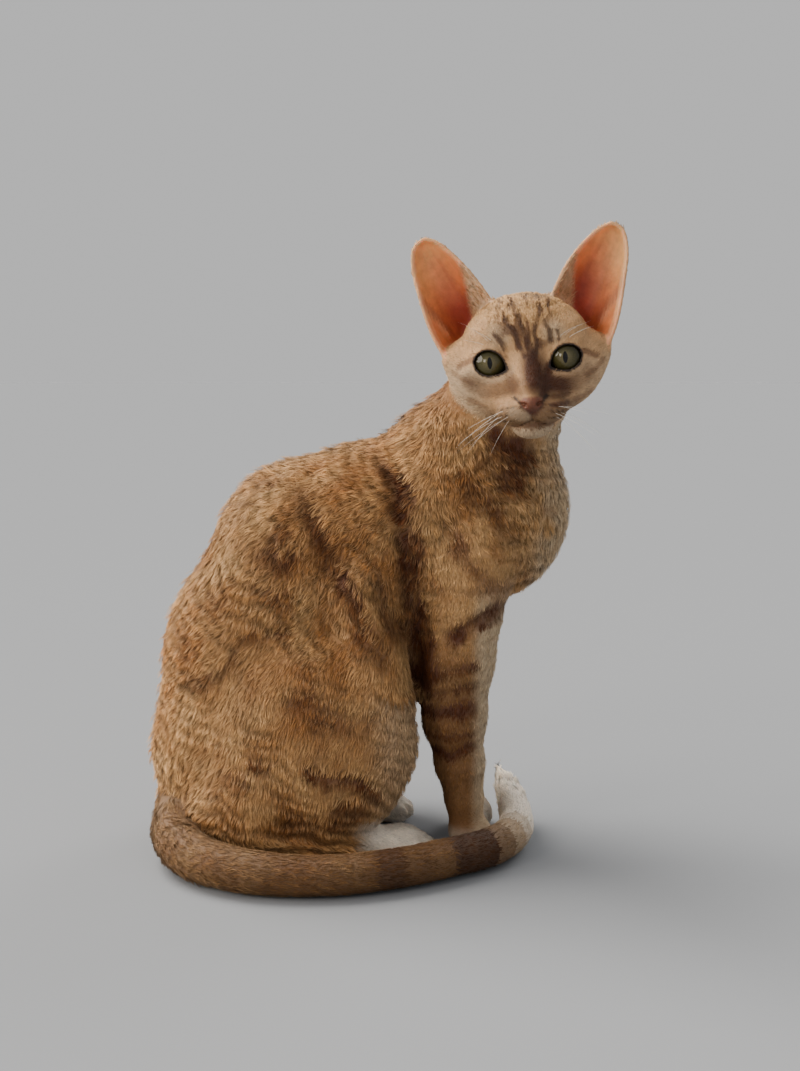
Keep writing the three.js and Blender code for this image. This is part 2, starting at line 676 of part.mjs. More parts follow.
// Ears, each a thin cup between a medial and a lateral rim that meet at the tip
// The left ear is turned a little further to the front, so it shows wider
const earMedial = {
  [left]: [[14.2, 9, 29.6], [23.8, 9, 46.5], [32.8, 11, 56.6], [42, 12, 63.4], [48, 12.4, 65.4]],
  [right]: [[15, 9, 29.6], [26, 9, 46.5], [34.8, 11, 57], [42.2, 12, 63.4], [48.2, 12.4, 65.4]],
};
const earLateral = {
  [left]: [[41, 1, 3], [47, 4, 17], [51.8, 8, 36], [54.4, 11, 52], [52.8, 12, 62], earMedial[left][4]],
  [right]: [[41, 1, 3], [47.4, 4, 17], [52.4, 8, 36], [54.8, 11, 52], [53.2, 12, 61.8], earMedial[right][4]],
};
const earRows = 7;
const earColumns = 7;
const earDepth = 24;
const earRoot = 10;
const earRootAim = new THREE.Vector3(0, 18, -4);
function earShell(side) {
  const path = (points) => new THREE.CatmullRomCurve3(points.map((p) => new THREE.Vector3(...p)));
  const medial = path(earMedial[side]);
  const lateral = path(earLateral[side]);
  const point = (row, column) => {
    const share = column / earColumns;
    const across = 2 * share - 1;
    const rise = 1 - (1 - Math.max(row, 0) / earRows) ** 1.5;
    const at = medial.getPointAt(rise).lerp(lateral.getPointAt(rise), share);
    at.y += earDepth * (1 - rise) ** 0.8 * (1 - across * across) ** 0.75;
    return row < 0 ? at.add(earRootAim.clone().sub(at).setLength(earRoot)) : at;
  };
  const inner = [];
  const outer = [];
  for (let row = -1; row <= earRows; row++)
    for (let column = 0; column <= earColumns; column++) {
      const at = point(row, column);
      const up = point(Math.min(row + 0.5, earRows - 0.01), column).sub(point(row - 0.5, column));
      const over = point(row, Math.min(column + 0.5, earColumns)).sub(point(row, Math.max(column - 0.5, 0)));
      const out = row === earRows ? new THREE.Vector3(0, 1, 0.2) : up.cross(over).setLength(1);
      const thick = 2 - (0.9 * Math.max(row, 0)) / earRows;
      inner.push(at);
      outer.push(at.clone().addScaledVector(out, thick));
    }
  const wide = earColumns + 1;
  const last = inner.length;
  const triangles = [];
  const quad = (a, b, c, d) => triangles.push(a, b, c, a, c, d);
  for (let row = 0; row <= earRows; row++) {
    for (let column = 0; column < earColumns; column++) {
      const a = row * wide + column;
      quad(a, a + 1, a + 1 + wide, a + wide);
      quad(last + a + 1, last + a, last + a + wide, last + a + 1 + wide);
    }
    const a = row * wide;
    const b = a + earColumns;
    quad(a + wide, last + a + wide, last + a, a);
    quad(b, last + b, last + b + wide, b + wide);
  }
  for (let column = 0; column < earColumns; column++) {
    quad(column + 1, column, last + column, last + column + 1);
    const a = (earRows + 1) * wide + column;
    quad(a, a + 1, last + a + 1, last + a);
  }
  if (side === right) triangles.reverse();
  const made = new THREE.BufferGeometry();
  const xyz = [...inner, ...outer].flatMap((p) => [side * p.x, p.y, p.z]);
  made.setAttribute("position", new THREE.Float32BufferAttribute(xyz, 3));
  made.setIndex(triangles);
  return solid(made);
}
const ears = {};
const clearOfSkull = swollen(skull, seam);
for (const side of [left, right]) ears[side] = largest(earShell(side).subtract(clearOfSkull));

// Eyes under an almond opening between the lids
function almond() {
  const inner = [-8, -3.8];
  const outer = [7.7, 1];
  const shape = new THREE.Shape().moveTo(...inner);
  shape.bezierCurveTo(-7.2, 2, -4.2, 5.9, 0.9, 6.1);
  shape.bezierCurveTo(4.6, 6.1, 7, 3.9, ...outer);
  shape.bezierCurveTo(7.6, -2.3, 4.6, -5.8, 0.4, -6.1);
  shape.bezierCurveTo(-3.3, -6.3, -5.8, -5.4, ...inner);
  return shape;
}
// A flat outline in X and Z pushed forward through the face, from one depth to another
function punch(shape, from, to, curveSegments = 6) {
  const made = new THREE.ExtrudeGeometry(shape, { depth: from - to, bevelEnabled: false, curveSegments });
  return made.rotateX(Math.PI / 2).translate(0, from, 0);
}
function mirrored(body) {
  const made = geometryOf(body).scale(-1, 1, 1);
  made.index.array.reverse();
  return solid(made);
}
const eyes = {};
const socket = solid(new THREE.IcosahedronGeometry(eyeRadius + gap + 0.2, 3).translate(eyeX, -eyeForward, 0));
const opening = solid(punch(almond(), -eyeForward - 3, -eyeForward - 16).translate(eyeX, 0, 0));
const eyeCut = socket.add(opening);
head = head.subtract(eyeCut).subtract(mirrored(eyeCut));
for (const side of [left, right]) {
  const eyeball = new THREE.IcosahedronGeometry(eyeRadius, 3);
  eyes[side] = solid(eyeball.translate(side * eyeX, -eyeForward, 0));
}

// Nostrils, and the line of the mouth as a shallow groove
const nostrilAt = [3.5, -noseReach + 1.9, -21.8];
for (const side of [left, right]) {
  const hole = new THREE.IcosahedronGeometry(1, 1).scale(1.4, 2.2, 1.1);
  const slit = new THREE.IcosahedronGeometry(1, 1).scale(2.3, 1.9, 0.6);
  hole.translate(side * nostrilAt[0], nostrilAt[1], nostrilAt[2]);
  slit.translate(side * (nostrilAt[0] + 1.9), nostrilAt[1] + 1.4, nostrilAt[2] + 0.7);
  head = head.subtract(solid(hole).add(solid(slit)));
}
const lipWidth = 0.8;
const lipDepth = 1;
const lipHalf = [[5, -32], [10, -31.2], [14.5, -28.4]];
const lipLine = [...lipHalf.map(([x, z]) => [-x, z]).reverse(), [0, -30.4], ...lipHalf];
const mouthShape = new THREE.Shape(lipLine.map(([x, z]) => new THREE.Vector2(x, z)));
for (const [x, z] of [...lipLine].reverse()) mouthShape.lineTo(x, z - lipWidth);
const furrow = new THREE.BoxGeometry(lipWidth * 0.8, 24, 5).translate(0, -22, -28.2);
const mouth = solid(punch(mouthShape, -8, -34)).add(solid(furrow));
head = largest(head.subtract(mouth.subtract(swollen(skull, -lipDepth))));

// Tail solid, in four lengths, and the paws give way where it presses on them
const { geometry: tailShape, curve: tailCurve } = tube(tailPath, tailSides, tailSteps);
const wholeTail = solid(tailShape).intersect(aboveFloor);
const besideTail = swollen(torso, seam).add(swollen(legs.hindleg_right, seam));
let tailRest = largest(wholeTail.subtract(besideTail));
const tails = {};
for (const [name, t] of Object.entries(tailCuts)) {
  const at = tailCurve.getPoint(t).toArray();
  const along = tailCurve.getTangent(t).toArray();
  tails[name] = largest(tailRest.subtract(beyond(at, along, -gap / 2)));
  tailRest = largest(tailRest.intersect(beyond(at, along, gap / 2)));
}
tails.tail_tip = tailRest;
const clearOfTail = swollen(solid(tailShape), seam);
for (const name of legNames) paws[name] = largest(paws[name].subtract(clearOfTail));

const catMaterials = {
  coat: new THREE.MeshStandardMaterial({ color: 0xb98252, roughness: 0.9 }),
  ear: new THREE.MeshStandardMaterial({ color: 0xb8714a, roughness: 0.8 }),
  eye: new THREE.MeshStandardMaterial({ color: 0x7d8455, roughness: 0.15 }),
  nose: new THREE.MeshStandardMaterial({ color: 0x9a5a48, roughness: 0.55 }),
};

// Assembly
const cat = new THREE.Group();
function add(group, name, body, material) {
  const mesh = new THREE.Mesh(geometryOf(welded(body)), catMaterials[material]);
  mesh.name = name;
  group.add(mesh);
}
add(cat, "torso", torso, "coat");
add(cat, "neck", neck, "coat");
for (const name of legNames) {
  add(cat, name, legs[name], "coat");
  add(cat, name.replace("leg", "paw"), paws[name], "coat");
}
for (const [name, body] of Object.entries(tails)) add(cat, name, body, "coat");
add(headPlace, "head", head, "coat");
add(headPlace, "ear_left", ears[left], "ear");
add(headPlace, "ear_right", ears[right], "ear");
add(headPlace, "eye_left", eyes[left], "eye");
add(headPlace, "eye_right", eyes[right], "eye");

cat.add(headPlace);

// The origin sits under the middle of the whole cat, on the floor
const reach = new THREE.Box3().setFromObject(cat, true);
const middle = reach.getCenter(new THREE.Vector3());
cat.position.set(-middle.x, -middle.y, -reach.min.z);

export default cat;
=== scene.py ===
import math
import time

import bpy
import numpy as np
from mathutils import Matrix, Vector
from mathutils.bvhtree import BVHTree
from mathutils.kdtree import KDTree


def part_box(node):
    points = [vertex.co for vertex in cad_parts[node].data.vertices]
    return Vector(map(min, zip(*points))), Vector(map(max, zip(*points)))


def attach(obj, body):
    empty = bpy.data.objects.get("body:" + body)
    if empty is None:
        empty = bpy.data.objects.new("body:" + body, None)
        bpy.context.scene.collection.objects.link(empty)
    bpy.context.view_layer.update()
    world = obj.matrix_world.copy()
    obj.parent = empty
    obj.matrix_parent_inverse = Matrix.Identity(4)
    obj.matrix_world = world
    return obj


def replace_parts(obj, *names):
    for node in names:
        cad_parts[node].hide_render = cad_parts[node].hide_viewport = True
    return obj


# A seated Devon Rex cat, life size, as a still museum model.
# The flesh is one skin, netted from rounded forms; eyes, coat tufts and whiskers are pieces on it.
# Forms are in millimetres in the body's own frame: +Z up, the chest faces +X, the face looks along -Y.

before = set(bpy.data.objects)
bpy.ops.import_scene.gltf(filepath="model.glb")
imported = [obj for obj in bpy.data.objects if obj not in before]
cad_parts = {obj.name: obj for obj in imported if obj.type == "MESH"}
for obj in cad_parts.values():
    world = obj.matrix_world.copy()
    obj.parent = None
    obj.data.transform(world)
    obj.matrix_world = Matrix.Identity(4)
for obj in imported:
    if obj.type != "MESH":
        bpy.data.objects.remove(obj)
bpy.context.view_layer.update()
started = time.time()


def report(stage):
    print(f"{time.time() - started:6.1f} s  {stage}")


def linear(hexColour):
    parts = [int(hexColour[n:n + 2], 16) / 255 for n in (0, 2, 4)]
    return np.array([p / 12.92 if p <= 0.04045 else ((p + 0.055) / 1.055) ** 2.4 for p in parts])


# Large odd numbers that scatter the corners of the noise, the same on every run
scatter = {"x": 374761393, "y": 668265263, "z": 2147483647, "seed": 974634777, "mix": 1274126177}


def hashed(i, j, k, seed):
    mixed = i * scatter["x"] + j * scatter["y"] + k * scatter["z"] + seed * scatter["seed"]
    mixed = (mixed ^ (mixed >> 13)) * scatter["mix"]
    return ((mixed ^ (mixed >> 16)) & 0xFFFFFF) / 0xFFFFFF


def noise(points, size, seed=0):
    # smooth values from -1 to 1 that change over about one size in millimetres
    scaled = points / size
    cell = np.floor(scaled).astype(np.int64)
    part = scaled - cell
    part = part * part * (3 - 2 * part)
    total = np.zeros(len(points))
    for corner in range(8):
        step = np.array([corner & 1, corner >> 1 & 1, corner >> 2 & 1])
        weight = np.prod(np.where(step, part, 1 - part), axis=1)
        at = cell + step
        total += weight * hashed(at[:, 0], at[:, 1], at[:, 2], seed)
    return total * 2 - 1


def ramp(value, low, high):
    # a smooth step from 0 at low to 1 at high; it falls where low is the larger
    share = np.clip((value - low) / (high - low), 0, 1)
    return share * share * (3 - 2 * share)


def unit(vectors):
    return vectors / np.maximum(np.linalg.norm(vectors, axis=-1, keepdims=True), 1e-9)


def mixColours(first, second, share):
    share = np.asarray(share)[..., None]
    return first * (1 - share) + second * share


def turnMatrix(x, y, z, headOrder=False):
    (cx, cy, cz), (sx, sy, sz) = np.cos(np.radians([x, y, z])), np.sin(np.radians([x, y, z]))
    aboutX = np.array([[1, 0, 0], [0, cx, -sx], [0, sx, cx]])
    aboutY = np.array([[cy, 0, sy], [0, 1, 0], [-sy, 0, cy]])
    aboutZ = np.array([[cz, -sz, 0], [sz, cz, 0], [0, 0, 1]])
    return aboutZ @ aboutX @ aboutY if headOrder else aboutX @ aboutY @ aboutZ


# Measures of the cat, in millimetres and degrees
cat = {
    "headTop": 303, "eyeHeight": 266, "eyeSpacing": 38.4, "eyeRadius": 10.4, "eyeForward": 2.8,
    "lidThickness": 1.5, "noseReach": 29, "chestFront": 114, "rumpBack": -116, "withersHeight": 228,
    "thighOut": 67, "pawSpacing": 36, "tailRadius": 11.6, "headAt": (87, -40, 266),
    "headTurn": (-1.6, -4.67, -3.6),
}
cameraAt = np.array((22, -804, 287), float)  # the cat looks at it
eyeX = cat["eyeSpacing"] / 2
headAt = np.array(cat["headAt"], float)
headTurn = turnMatrix(*cat["headTurn"], headOrder=True)
boxMargin = 14  # a form counts this far outside its own box
far = 1e3


def toHead(x, y, z):
    dx, dy, dz = x - headAt[0], y - headAt[1], z - headAt[2]
    return tuple(headTurn[0, n] * dx + headTurn[1, n] * dy + headTurn[2, n] * dz for n in range(3))


def fromHead(points):
    return np.asarray(points, float) @ headTurn.T + headAt


def headPoints(points):
    return (points - headAt) @ headTurn


eyeInBody = fromHead([eyeX, -cat["eyeForward"], 0])
eyeLow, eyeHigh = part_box("eye_left")  # ties the body's own frame to the row's
shift = np.array((eyeLow + eyeHigh) / 2) * 1000 - eyeInBody


def toRow(points):
    return (np.asarray(points) + shift) / 1000


def blend(a, b, width):
    share = np.maximum(width - np.abs(a - b), 0) / width
    return np.minimum(a, b) - share * share * width / 4


def carve(a, b, width):
    return -blend(-a, b, width)


# Forms: each is a distance, negative inside, with the corners of its box
def ball(centre, radii, turn=(0, 0, 0), onHead=False):
    centre, rotation = np.array(centre, float), turnMatrix(*turn)
    if onHead:
        centre, rotation = fromHead(centre), headTurn @ rotation
    rx, ry, rz = radii

    def distance(x, y, z):
        dx, dy, dz = x - centre[0], y - centre[1], z - centre[2]
        px = (rotation[0, 0] * dx + rotation[1, 0] * dy + rotation[2, 0] * dz) / rx
        py = (rotation[0, 1] * dx + rotation[1, 1] * dy + rotation[2, 1] * dz) / ry
        pz = (rotation[0, 2] * dx + rotation[1, 2] * dy + rotation[2, 2] * dz) / rz
        reach = np.sqrt(px * px + py * py + pz * pz)
        slope = np.sqrt((px / rx) ** 2 + (py / ry) ** 2 + (pz / rz) ** 2) + 1e-9
        return reach * (reach - 1) / slope
    return distance, centre - max(radii), centre + max(radii)


def limb(start, end, startRadius, endRadius, flat=1.0, onHead=False):
    # a cone between two balls, squashed sideways by flat
    start, end = np.array(start, float), np.array(end, float)
    if onHead:
        start, end = fromHead(start), fromHead(end)
    ax, ay, az = (end - start) / (1, flat, 1)
    span = ax * ax + ay * ay + az * az
    drop = startRadius - endRadius
    rest = span - drop * drop

    def distance(x, y, z):
        px, py, pz = x - start[0], (y - start[1]) / flat, z - start[2]
        along = px * ax + py * ay + pz * az
        past = along - span
        off = ((px * span - ax * along) ** 2 + (py * span - ay * along) ** 2
               + (pz * span - az * along) ** 2)
        lean = np.sign(drop) * drop * drop * off
        side = (np.sqrt(off * rest / span) + along * drop) / span - startRadius
        tip = np.sqrt(off + past * past * span) / span - endRadius
        root = np.sqrt(off + along * along * span) / span - startRadius
        out = np.where(np.sign(along) * rest * along * along * span < lean, root, side)
        return np.where(np.sign(past) * rest * past * past * span > lean, tip, out) * flat
    reach = max(startRadius, endRadius)
    return distance, np.minimum(start, end) - reach, np.maximum(start, end) + reach


def applyForms(out, forms, width, x, y, z, mix=blend):
    # x, y and z are either three flat arrays of points or the three lines of a grid
    for distance, low, high in forms:
        if x.ndim == 3:
            part = tuple(slice(*np.searchsorted(line.ravel(), (low[n] - boxMargin, high[n] + boxMargin)))
                         for n, line in enumerate((x, y, z)))
            near = x[part[0]], y[:, part[1]], z[:, :, part[2]]
        else:
            part = np.ones(len(x), bool)
            for n, line in enumerate((x, y, z)):
                part &= (line > low[n] - boxMargin) & (line < high[n] + boxMargin)
            near = x[part], y[part], z[part]
        out[part] = mix(out[part], distance(*near), width)
    return out


def together(forms, width, x, y, z):
    shape = np.broadcast_shapes(x.shape, y.shape, z.shape)
    return applyForms(np.full(shape, far), forms, width, x, y, z)


def curvePoints(points, count):
    # a centripetal Catmull-Rom curve through the points
    p = np.array(points, float)
    p = np.vstack([2 * p[0] - p[1], p, 2 * p[-1] - p[-2]])
    t = np.linspace(0, len(points) - 1, count)
    out = []
    for value in t:
        n = min(int(value), len(points) - 2)
        share = value - n
        a, b, c, d = p[n:n + 4]
        ab, bc, cd = (max(np.linalg.norm(v) ** 0.5, 1e-4) for v in (b - a, c - b, d - c))
        m1 = ((b - a) / ab - (c - a) / (ab + bc) + (c - b) / bc) * bc
        m2 = ((c - b) / bc - (d - b) / (bc + cd) + (d - c) / cd) * bc
        s2, s3 = share * share, share ** 3
        out.append((2 * s3 - 3 * s2 + 1) * b + (s3 - 2 * s2 + share) * m1
                   + (3 * s2 - 2 * s3) * c + (s3 - s2) * m2)
    return np.array(out)


def evenly(points, count):
    # the same curve with its points spaced evenly along its length
    dense = curvePoints(points, 200)
    run = np.concatenate([[0], np.cumsum(np.linalg.norm(np.diff(dense, axis=0), axis=1))])
    return np.array([np.interp(np.linspace(0, run[-1], count), run, dense[:, n]) for n in range(3)]).T


def bothSides(make):
    return [make(1), make(-1)]


# How widely forms melt into each other
melt = {
    "trunk": 12, "limbs": 11, "foreleg": 6, "hindleg": 8, "toes": 1.6,
    "tailRoot": 9, "tail": 1.5, "tailLine": 0.5,
    "skull": 8, "muzzle": 3.4, "face": 6, "lids": 3, "neck": 14, "ears": 3.5, "nostrils": 0.5, "eyes": 0.7,
}
chest, rump, withers = cat["chestFront"], cat["rumpBack"], cat["withersHeight"]
torsoForms = [
    ball((chest - 38, 0, 179), (38, 35, 46), (0, 22, 0)),  # breast
    ball((38, 0, withers - 40), (42, 37, 45)),  # shoulders
    ball((4, 0, 163), (54, 44, 60)),  # ribs
    ball((-34, 0, 142), (51, 49, 71)),  # back
    ball((-59, 0, 97), (51, 50, 70)),  # loin
    ball((rump + 55, 0, 54), (55, 50, 57)),  # rump
    ball((-14, 0, 92), (36, 38, 62)),  # belly
    ball((50, 0, withers - 6), (31, 29, 24)),  # withers
    *bothSides(lambda s: ball((40, s * 22, 178), (24, 17, 47), (0, 22, 0))),  # shoulder blades
    *bothSides(lambda s: limb((1, s * 38, 146), (13, s * 41, 98), 17, 18)),  # flanks
    limb((62, 0, 198), (80, 0, 246), 42, 32, 0.84),  # neck
    *bothSides(lambda s: limb((33, s * 23, 134), (35, s * 23, 94), 13, 10)),  # web of skin behind each elbow
]
# Folds of the sides, drawn from the side in x and z: depth and width in millimetres, then the line
folds = [
    (3.6, 9, [(21, 198), (27, 164), (31, 129), (31.5, 98)]),
    (1.9, 6, [(-24, 189), (-16, 170), (-8, 154), (-1, 143), (5, 125), (15, 116)]),
    (1.7, 5, [(9, 152), (15, 138), (22, 126)]),
    (1.5, 6, [(73, 201), (87, 197), (101, 191)]),
    (1.5, 7, [(52, 123), (63, 131), (73, 137)]),
    (1.2, 7, [(-34, 93), (-13, 87), (8, 83)]),
    (1.2, 5, [(-26, 57), (-10, 53), (2, 51), (10, 45)]),
    (1.3, 5, [(-61, 118), (-52, 123), (-33, 127)]),
    (1.2, 8, [(45, 179), (53, 170), (60, 161), (65, 157)]),
]

# The head, in its own frame: x to its left, -y out of the face, z up, from the middle between the eyes
skullForms = [
    ball((0, 24, 5), (33, 33, cat["headTop"] - cat["eyeHeight"] - 7), onHead=True),  # crown
    ball((0, 7, 13), (31, 21, 19), onHead=True),  # forehead
    ball((0, 18, -10), (30, 26, 20), onHead=True),
    limb((0, -8, -28), (0, 14, -21), 7.5, 16, onHead=True),  # lower jaw
    *bothSides(lambda s: ball((s * 22.5, 10, -5), (17.5, 20, 14.5), onHead=True)),  # cheekbones
    *bothSides(lambda s: limb((s * 20, 8, -12), (s * 7, -8, -25), 12, 8, onHead=True)),  # sides of the wedge
    *bothSides(lambda s: ball((s * 17, -2.5, 11), (11.5, 8, 6.5), (0, s * -10, 0), onHead=True)),  # brows
    *bothSides(lambda s: ball((s * 33, 12, 3), (10.5, 13, 9), onHead=True)),  # temples
    *bothSides(lambda s: ball((s * 10, -5.6, -12), (9.5, 10, 8.6), onHead=True)),  # under the eyes
]
nose = cat["noseReach"]
muzzleForms = [
    limb((0, -3.6, 3), (0, 8.5 - nose, -14.5), 9.4, 6.6, onHead=True),  # bridge
    ball((0, 5.6 - nose, -21), (6, 5.8, 4.6), onHead=True),  # leather
    ball((0, -14, -34), (9.4, 9, 5.6), onHead=True),  # chin
    # whisker pads
    *bothSides(lambda s: ball((s * 7.6, -16.8, -25.4), (10.6, 9.4, 6.9), (0, 0, s * 20), onHead=True)),
]
lidRadius = cat["eyeRadius"] + cat["lidThickness"]
lidForms = bothSides(lambda s: ball((s * eyeX, -cat["eyeForward"], 0), (lidRadius,) * 3, onHead=True))

pawPlaces = {
    "foreLeft": (63, cat["pawSpacing"] / 2 - 2), "foreRight": (61, -cat["pawSpacing"] / 2 - 2),
    "hindLeft": (14, 26), "hindRight": (25, -37),
}


def toesOf(pawX, pawY, spread):
    return [ball((pawX + spread - abs(n) * 3, pawY + n * 6.2, 6.2), (8.4, 4, 6.7), (0, 0, n * 7))
            for n in (-1.5, -0.5, 0.5, 1.5)]


def forelegForms(side, pawX, pawY):
    return [
        limb((62, side * 30, 162), (52, side * 27, 106), 22, 20, 0.78),
        limb((52, side * 27, 106), (51, pawY + side * 5, 76), 20, 17.4, 0.78),
        limb((51, pawY + side * 5, 76), (54.5, pawY + side * 2, 48), 17.4, 13, 0.82),
        limb((54.5, pawY + side * 2, 48), (pawX - 4, pawY, 28), 13, 10.2, 0.95),
        limb((pawX - 4, pawY, 28), (pawX - 2.5, pawY, 13), 10.2, 9.6),
        ball((pawX, pawY, 8), (12.5, 11.3, 9.6)),
    ]


def hindlegForms(side, pawX, pawY):
    middle = (-4, (pawY + side * 46) / 2, 9.6)
    return [
        ball((-22, side * (cat["thighOut"] - 22), 64), (52, 22, 57), (0, 12, 0)),
        ball((4, side * (cat["thighOut"] - 24), 72), (27, 20, 34), (0, -12, 0)),
        ball((-52, side * 44, 38), (27, 20, 27)),
        limb((-76, side * 40, 26), (-56, side * 48, 20), 15, 15),  # fills the coat out to the tail's root
        limb((-50, side * 48, 12), middle, 12.4, 10.5),
        limb(middle, (pawX - 4, pawY, 8.5), 10.5, 9.5),
        ball((pawX, pawY, 8), (13, 11.5, 9)),
    ]


legs = {}
for legName, (pawX, pawY) in pawPlaces.items():
    side = 1 if legName.endswith("Left") else -1
    fore = legName.startswith("fore")
    forms = (forelegForms if fore else hindlegForms)(side, pawX, pawY)
    legs[legName] = {"forms": forms, "melt": melt["foreleg" if fore else "hindleg"],
                     "toes": toesOf(pawX, pawY, 6 if fore else 10)}

tailRadius = cat["tailRadius"]
tailSide = tailRadius - 0.6
tailPath = [  # x, y, z and radius, from the root to the tip
    (-72, 8, 42, 16), (-90, -10, 28, 16), (-98, -34, 17, 15.2), (-88, -64, 13, 13.8),
    (-60, -86, 11.8, 12.4), (-22, -92, tailSide, tailRadius), (14, -84, tailSide, tailRadius),
    (46, -67, tailSide, tailRadius), (72, -48, tailSide, tailRadius),
    (84.5, -24, tailSide + 0.2, tailRadius - 0.3), (86.5, 0, tailSide + 2, tailRadius - 1),
    (84, 20, tailSide + 8.5, tailRadius - 2.6), (79, 32, tailSide + 17, 3),
]
tailCount = 61
tailLine = curvePoints([p[:3] for p in tailPath], tailCount)
tailRadii = np.interp(np.linspace(0, 12, tailCount), range(13), [p[3] for p in tailPath])
tailForms = [limb(tailLine[n], tailLine[n + 1], tailRadii[n], tailRadii[n + 1])
             for n in range(tailCount - 1)]
tailHead = limb((-78, 4, 36), (-97, -20, 21), 22, 15.5)

# Ears: a thin cup each, between a medial and a lateral rim that meet at the tip, in the head's frame.
# Both are drawn on the left, the right one to be mirrored; the left one is turned further to the front.
ear = {
    "depth": 24, "root": 10, "half": 0.95,  # how deep the cup is, how far it roots, half its thickness
    "rows": 44, "columns": 26, "steps": 400,  # of its sheet, and of the curves of its rims
    "near": 12, "reach": 7, "chunk": 20000,  # how near a point counts, and how many are looked up at once
    "medial": {
        1: [(14.2, 9, 29.6), (23.8, 9, 46.5), (32.8, 11, 56.6), (42, 12, 63.4), (48, 12.4, 65.4)],
        -1: [(15, 9, 29.6), (26, 9, 46.5), (34.8, 11, 57), (42.2, 12, 63.4), (48.2, 12.4, 65.4)],
    },
    "lateral": {
        1: [(41, 1, 3), (47, 4, 17), (51.8, 8, 36), (54.4, 11, 52), (52.8, 12, 62), (48, 12.4, 65.4)],
        -1: [(41, 1, 3), (47.4, 4, 17), (52.4, 8, 36), (54.8, 11, 52), (53.2, 12, 61.8), (48.2, 12.4, 65.4)],
    },
}


def earSurface(side):
    rows, columns, steps = ear["rows"], ear["columns"], ear["steps"]
    medial, lateral = (evenly(ear[rim][side], steps + 1) for rim in ("medial", "lateral"))

    def point(row, share):
        rise = 1 - (1 - np.clip(row, 0, 1)) ** 1.5
        n = int(round(rise * steps))
        at = medial[n] * (1 - share) + lateral[n] * share
        across = 2 * share - 1
        at[1] += ear["depth"] * (1 - rise) ** 0.8 * max(1 - across * across, 0) ** 0.75
        if row < 0:
            aim = np.array([0, 18, -4]) - at
            at = at + aim / np.linalg.norm(aim) * ear["root"] * -row
        return at
    grid = np.array([[point(r, c) for c in np.linspace(0.015, 0.985, columns)]
                     for r in np.concatenate([[-1, -0.5], np.linspace(0, 0.985, rows)])])
    up = np.gradient(grid, axis=0)
    over = np.gradient(grid, axis=1)
    out = unit(np.cross(up, over))
    return grid + out * ear["half"] * 0.9, out


earSheets = {}
for side in (1, -1):
    grid, out = earSurface(side)
    rows, columns = grid.shape[:2]
    quads = [(r * columns + c, r * columns + c + 1, (r + 1) * columns + c + 1, (r + 1) * columns + c)
             for r in range(rows - 1) for c in range(columns - 1)]
    flat = grid.reshape(-1, 3)
    earSheets[side] = {
        "out": out, "tree": BVHTree.FromPolygons([Vector(p) for p in flat], quads), "rows": rows,
        "columns": columns, "low": flat.min(0) - 6, "high": flat.max(0) + 6,
        "seeds": grid[::4, ::4].reshape(-1, 3),
    }
earLow = np.minimum(earSheets[1]["low"], earSheets[-1]["low"])
earHigh = np.maximum(earSheets[1]["high"], earSheets[-1]["high"])


def earNearest(points):
    # for points in the head's frame: distance to the ear sheet, which side, and the share up and across it
    found = np.full((len(points), 4), far)
    for side, sheet in earSheets.items():
        mirrored = points * (side, 1, 1)
        near = np.all((mirrored > sheet["low"]) & (mirrored < sheet["high"]), axis=1)
        index = np.nonzero(near)[0]
        for start in range(0, len(index), ear["chunk"]):
            chunk = index[start:start + ear["chunk"]]
            gaps = np.linalg.norm(mirrored[chunk, None] - sheet["seeds"][None], axis=2).min(1)
            for n in chunk[gaps < ear["near"]]:
                at, _, quad, gap = sheet["tree"].find_nearest(Vector(mirrored[n]), ear["reach"])
                if at is not None:
                    row, column = divmod(quad, sheet["columns"] - 1)
                    outer = np.dot(mirrored[n] - np.array(at), sheet["out"][row, column]) > 0
                    rise, share = (row - 2) / (sheet["rows"] - 3), column / (sheet["columns"] - 2)
                    found[n] = gap, 1 if outer else -1, rise, share
    return found


def earForm():
    def distance(x, y, z):
        hx, hy, hz = toHead(x, y, z)
        shape = hx.shape
        points = np.stack([np.ravel(h) for h in (hx, hy, hz)], axis=1)
        return (earNearest(points)[:, 0] - ear["half"]).reshape(shape)
    corners = fromHead([(sx * earHigh[0], y, z) for sx in (-1, 1) for y in (earLow[1], earHigh[1])
                        for z in (earLow[2], earHigh[2])])
    return distance, corners.min(0) + boxMargin, corners.max(0) - boxMargin


earForms = [earForm()]

# Openings of the face; the almond is drawn about the middle of the left eye
almond = {"inner": (-8, -3.8), "outer": (7.7, 1)}


def bezier(start, first, second, end, count=9):
    t = np.linspace(0, 1, count)[:-1, None]
    a, b, c, d = (np.array(p, float) for p in (start, first, second, end))
    return a * (1 - t) ** 3 + 3 * b * t * (1 - t) ** 2 + 3 * c * t * t * (1 - t) + d * t ** 3


almondLine = np.vstack([
    bezier(almond["inner"], (-7.2, 2), (-4.2, 5.9), (0.9, 6.1)),
    bezier((0.9, 6.1), (4.6, 6.1), (7, 3.9), almond["outer"]),
    bezier(almond["outer"], (7.6, -2.3), (4.6, -5.8), (0.4, -6.1)),
    bezier((0.4, -6.1), (-3.3, -6.3), (-5.8, -5.4), almond["inner"]),
])


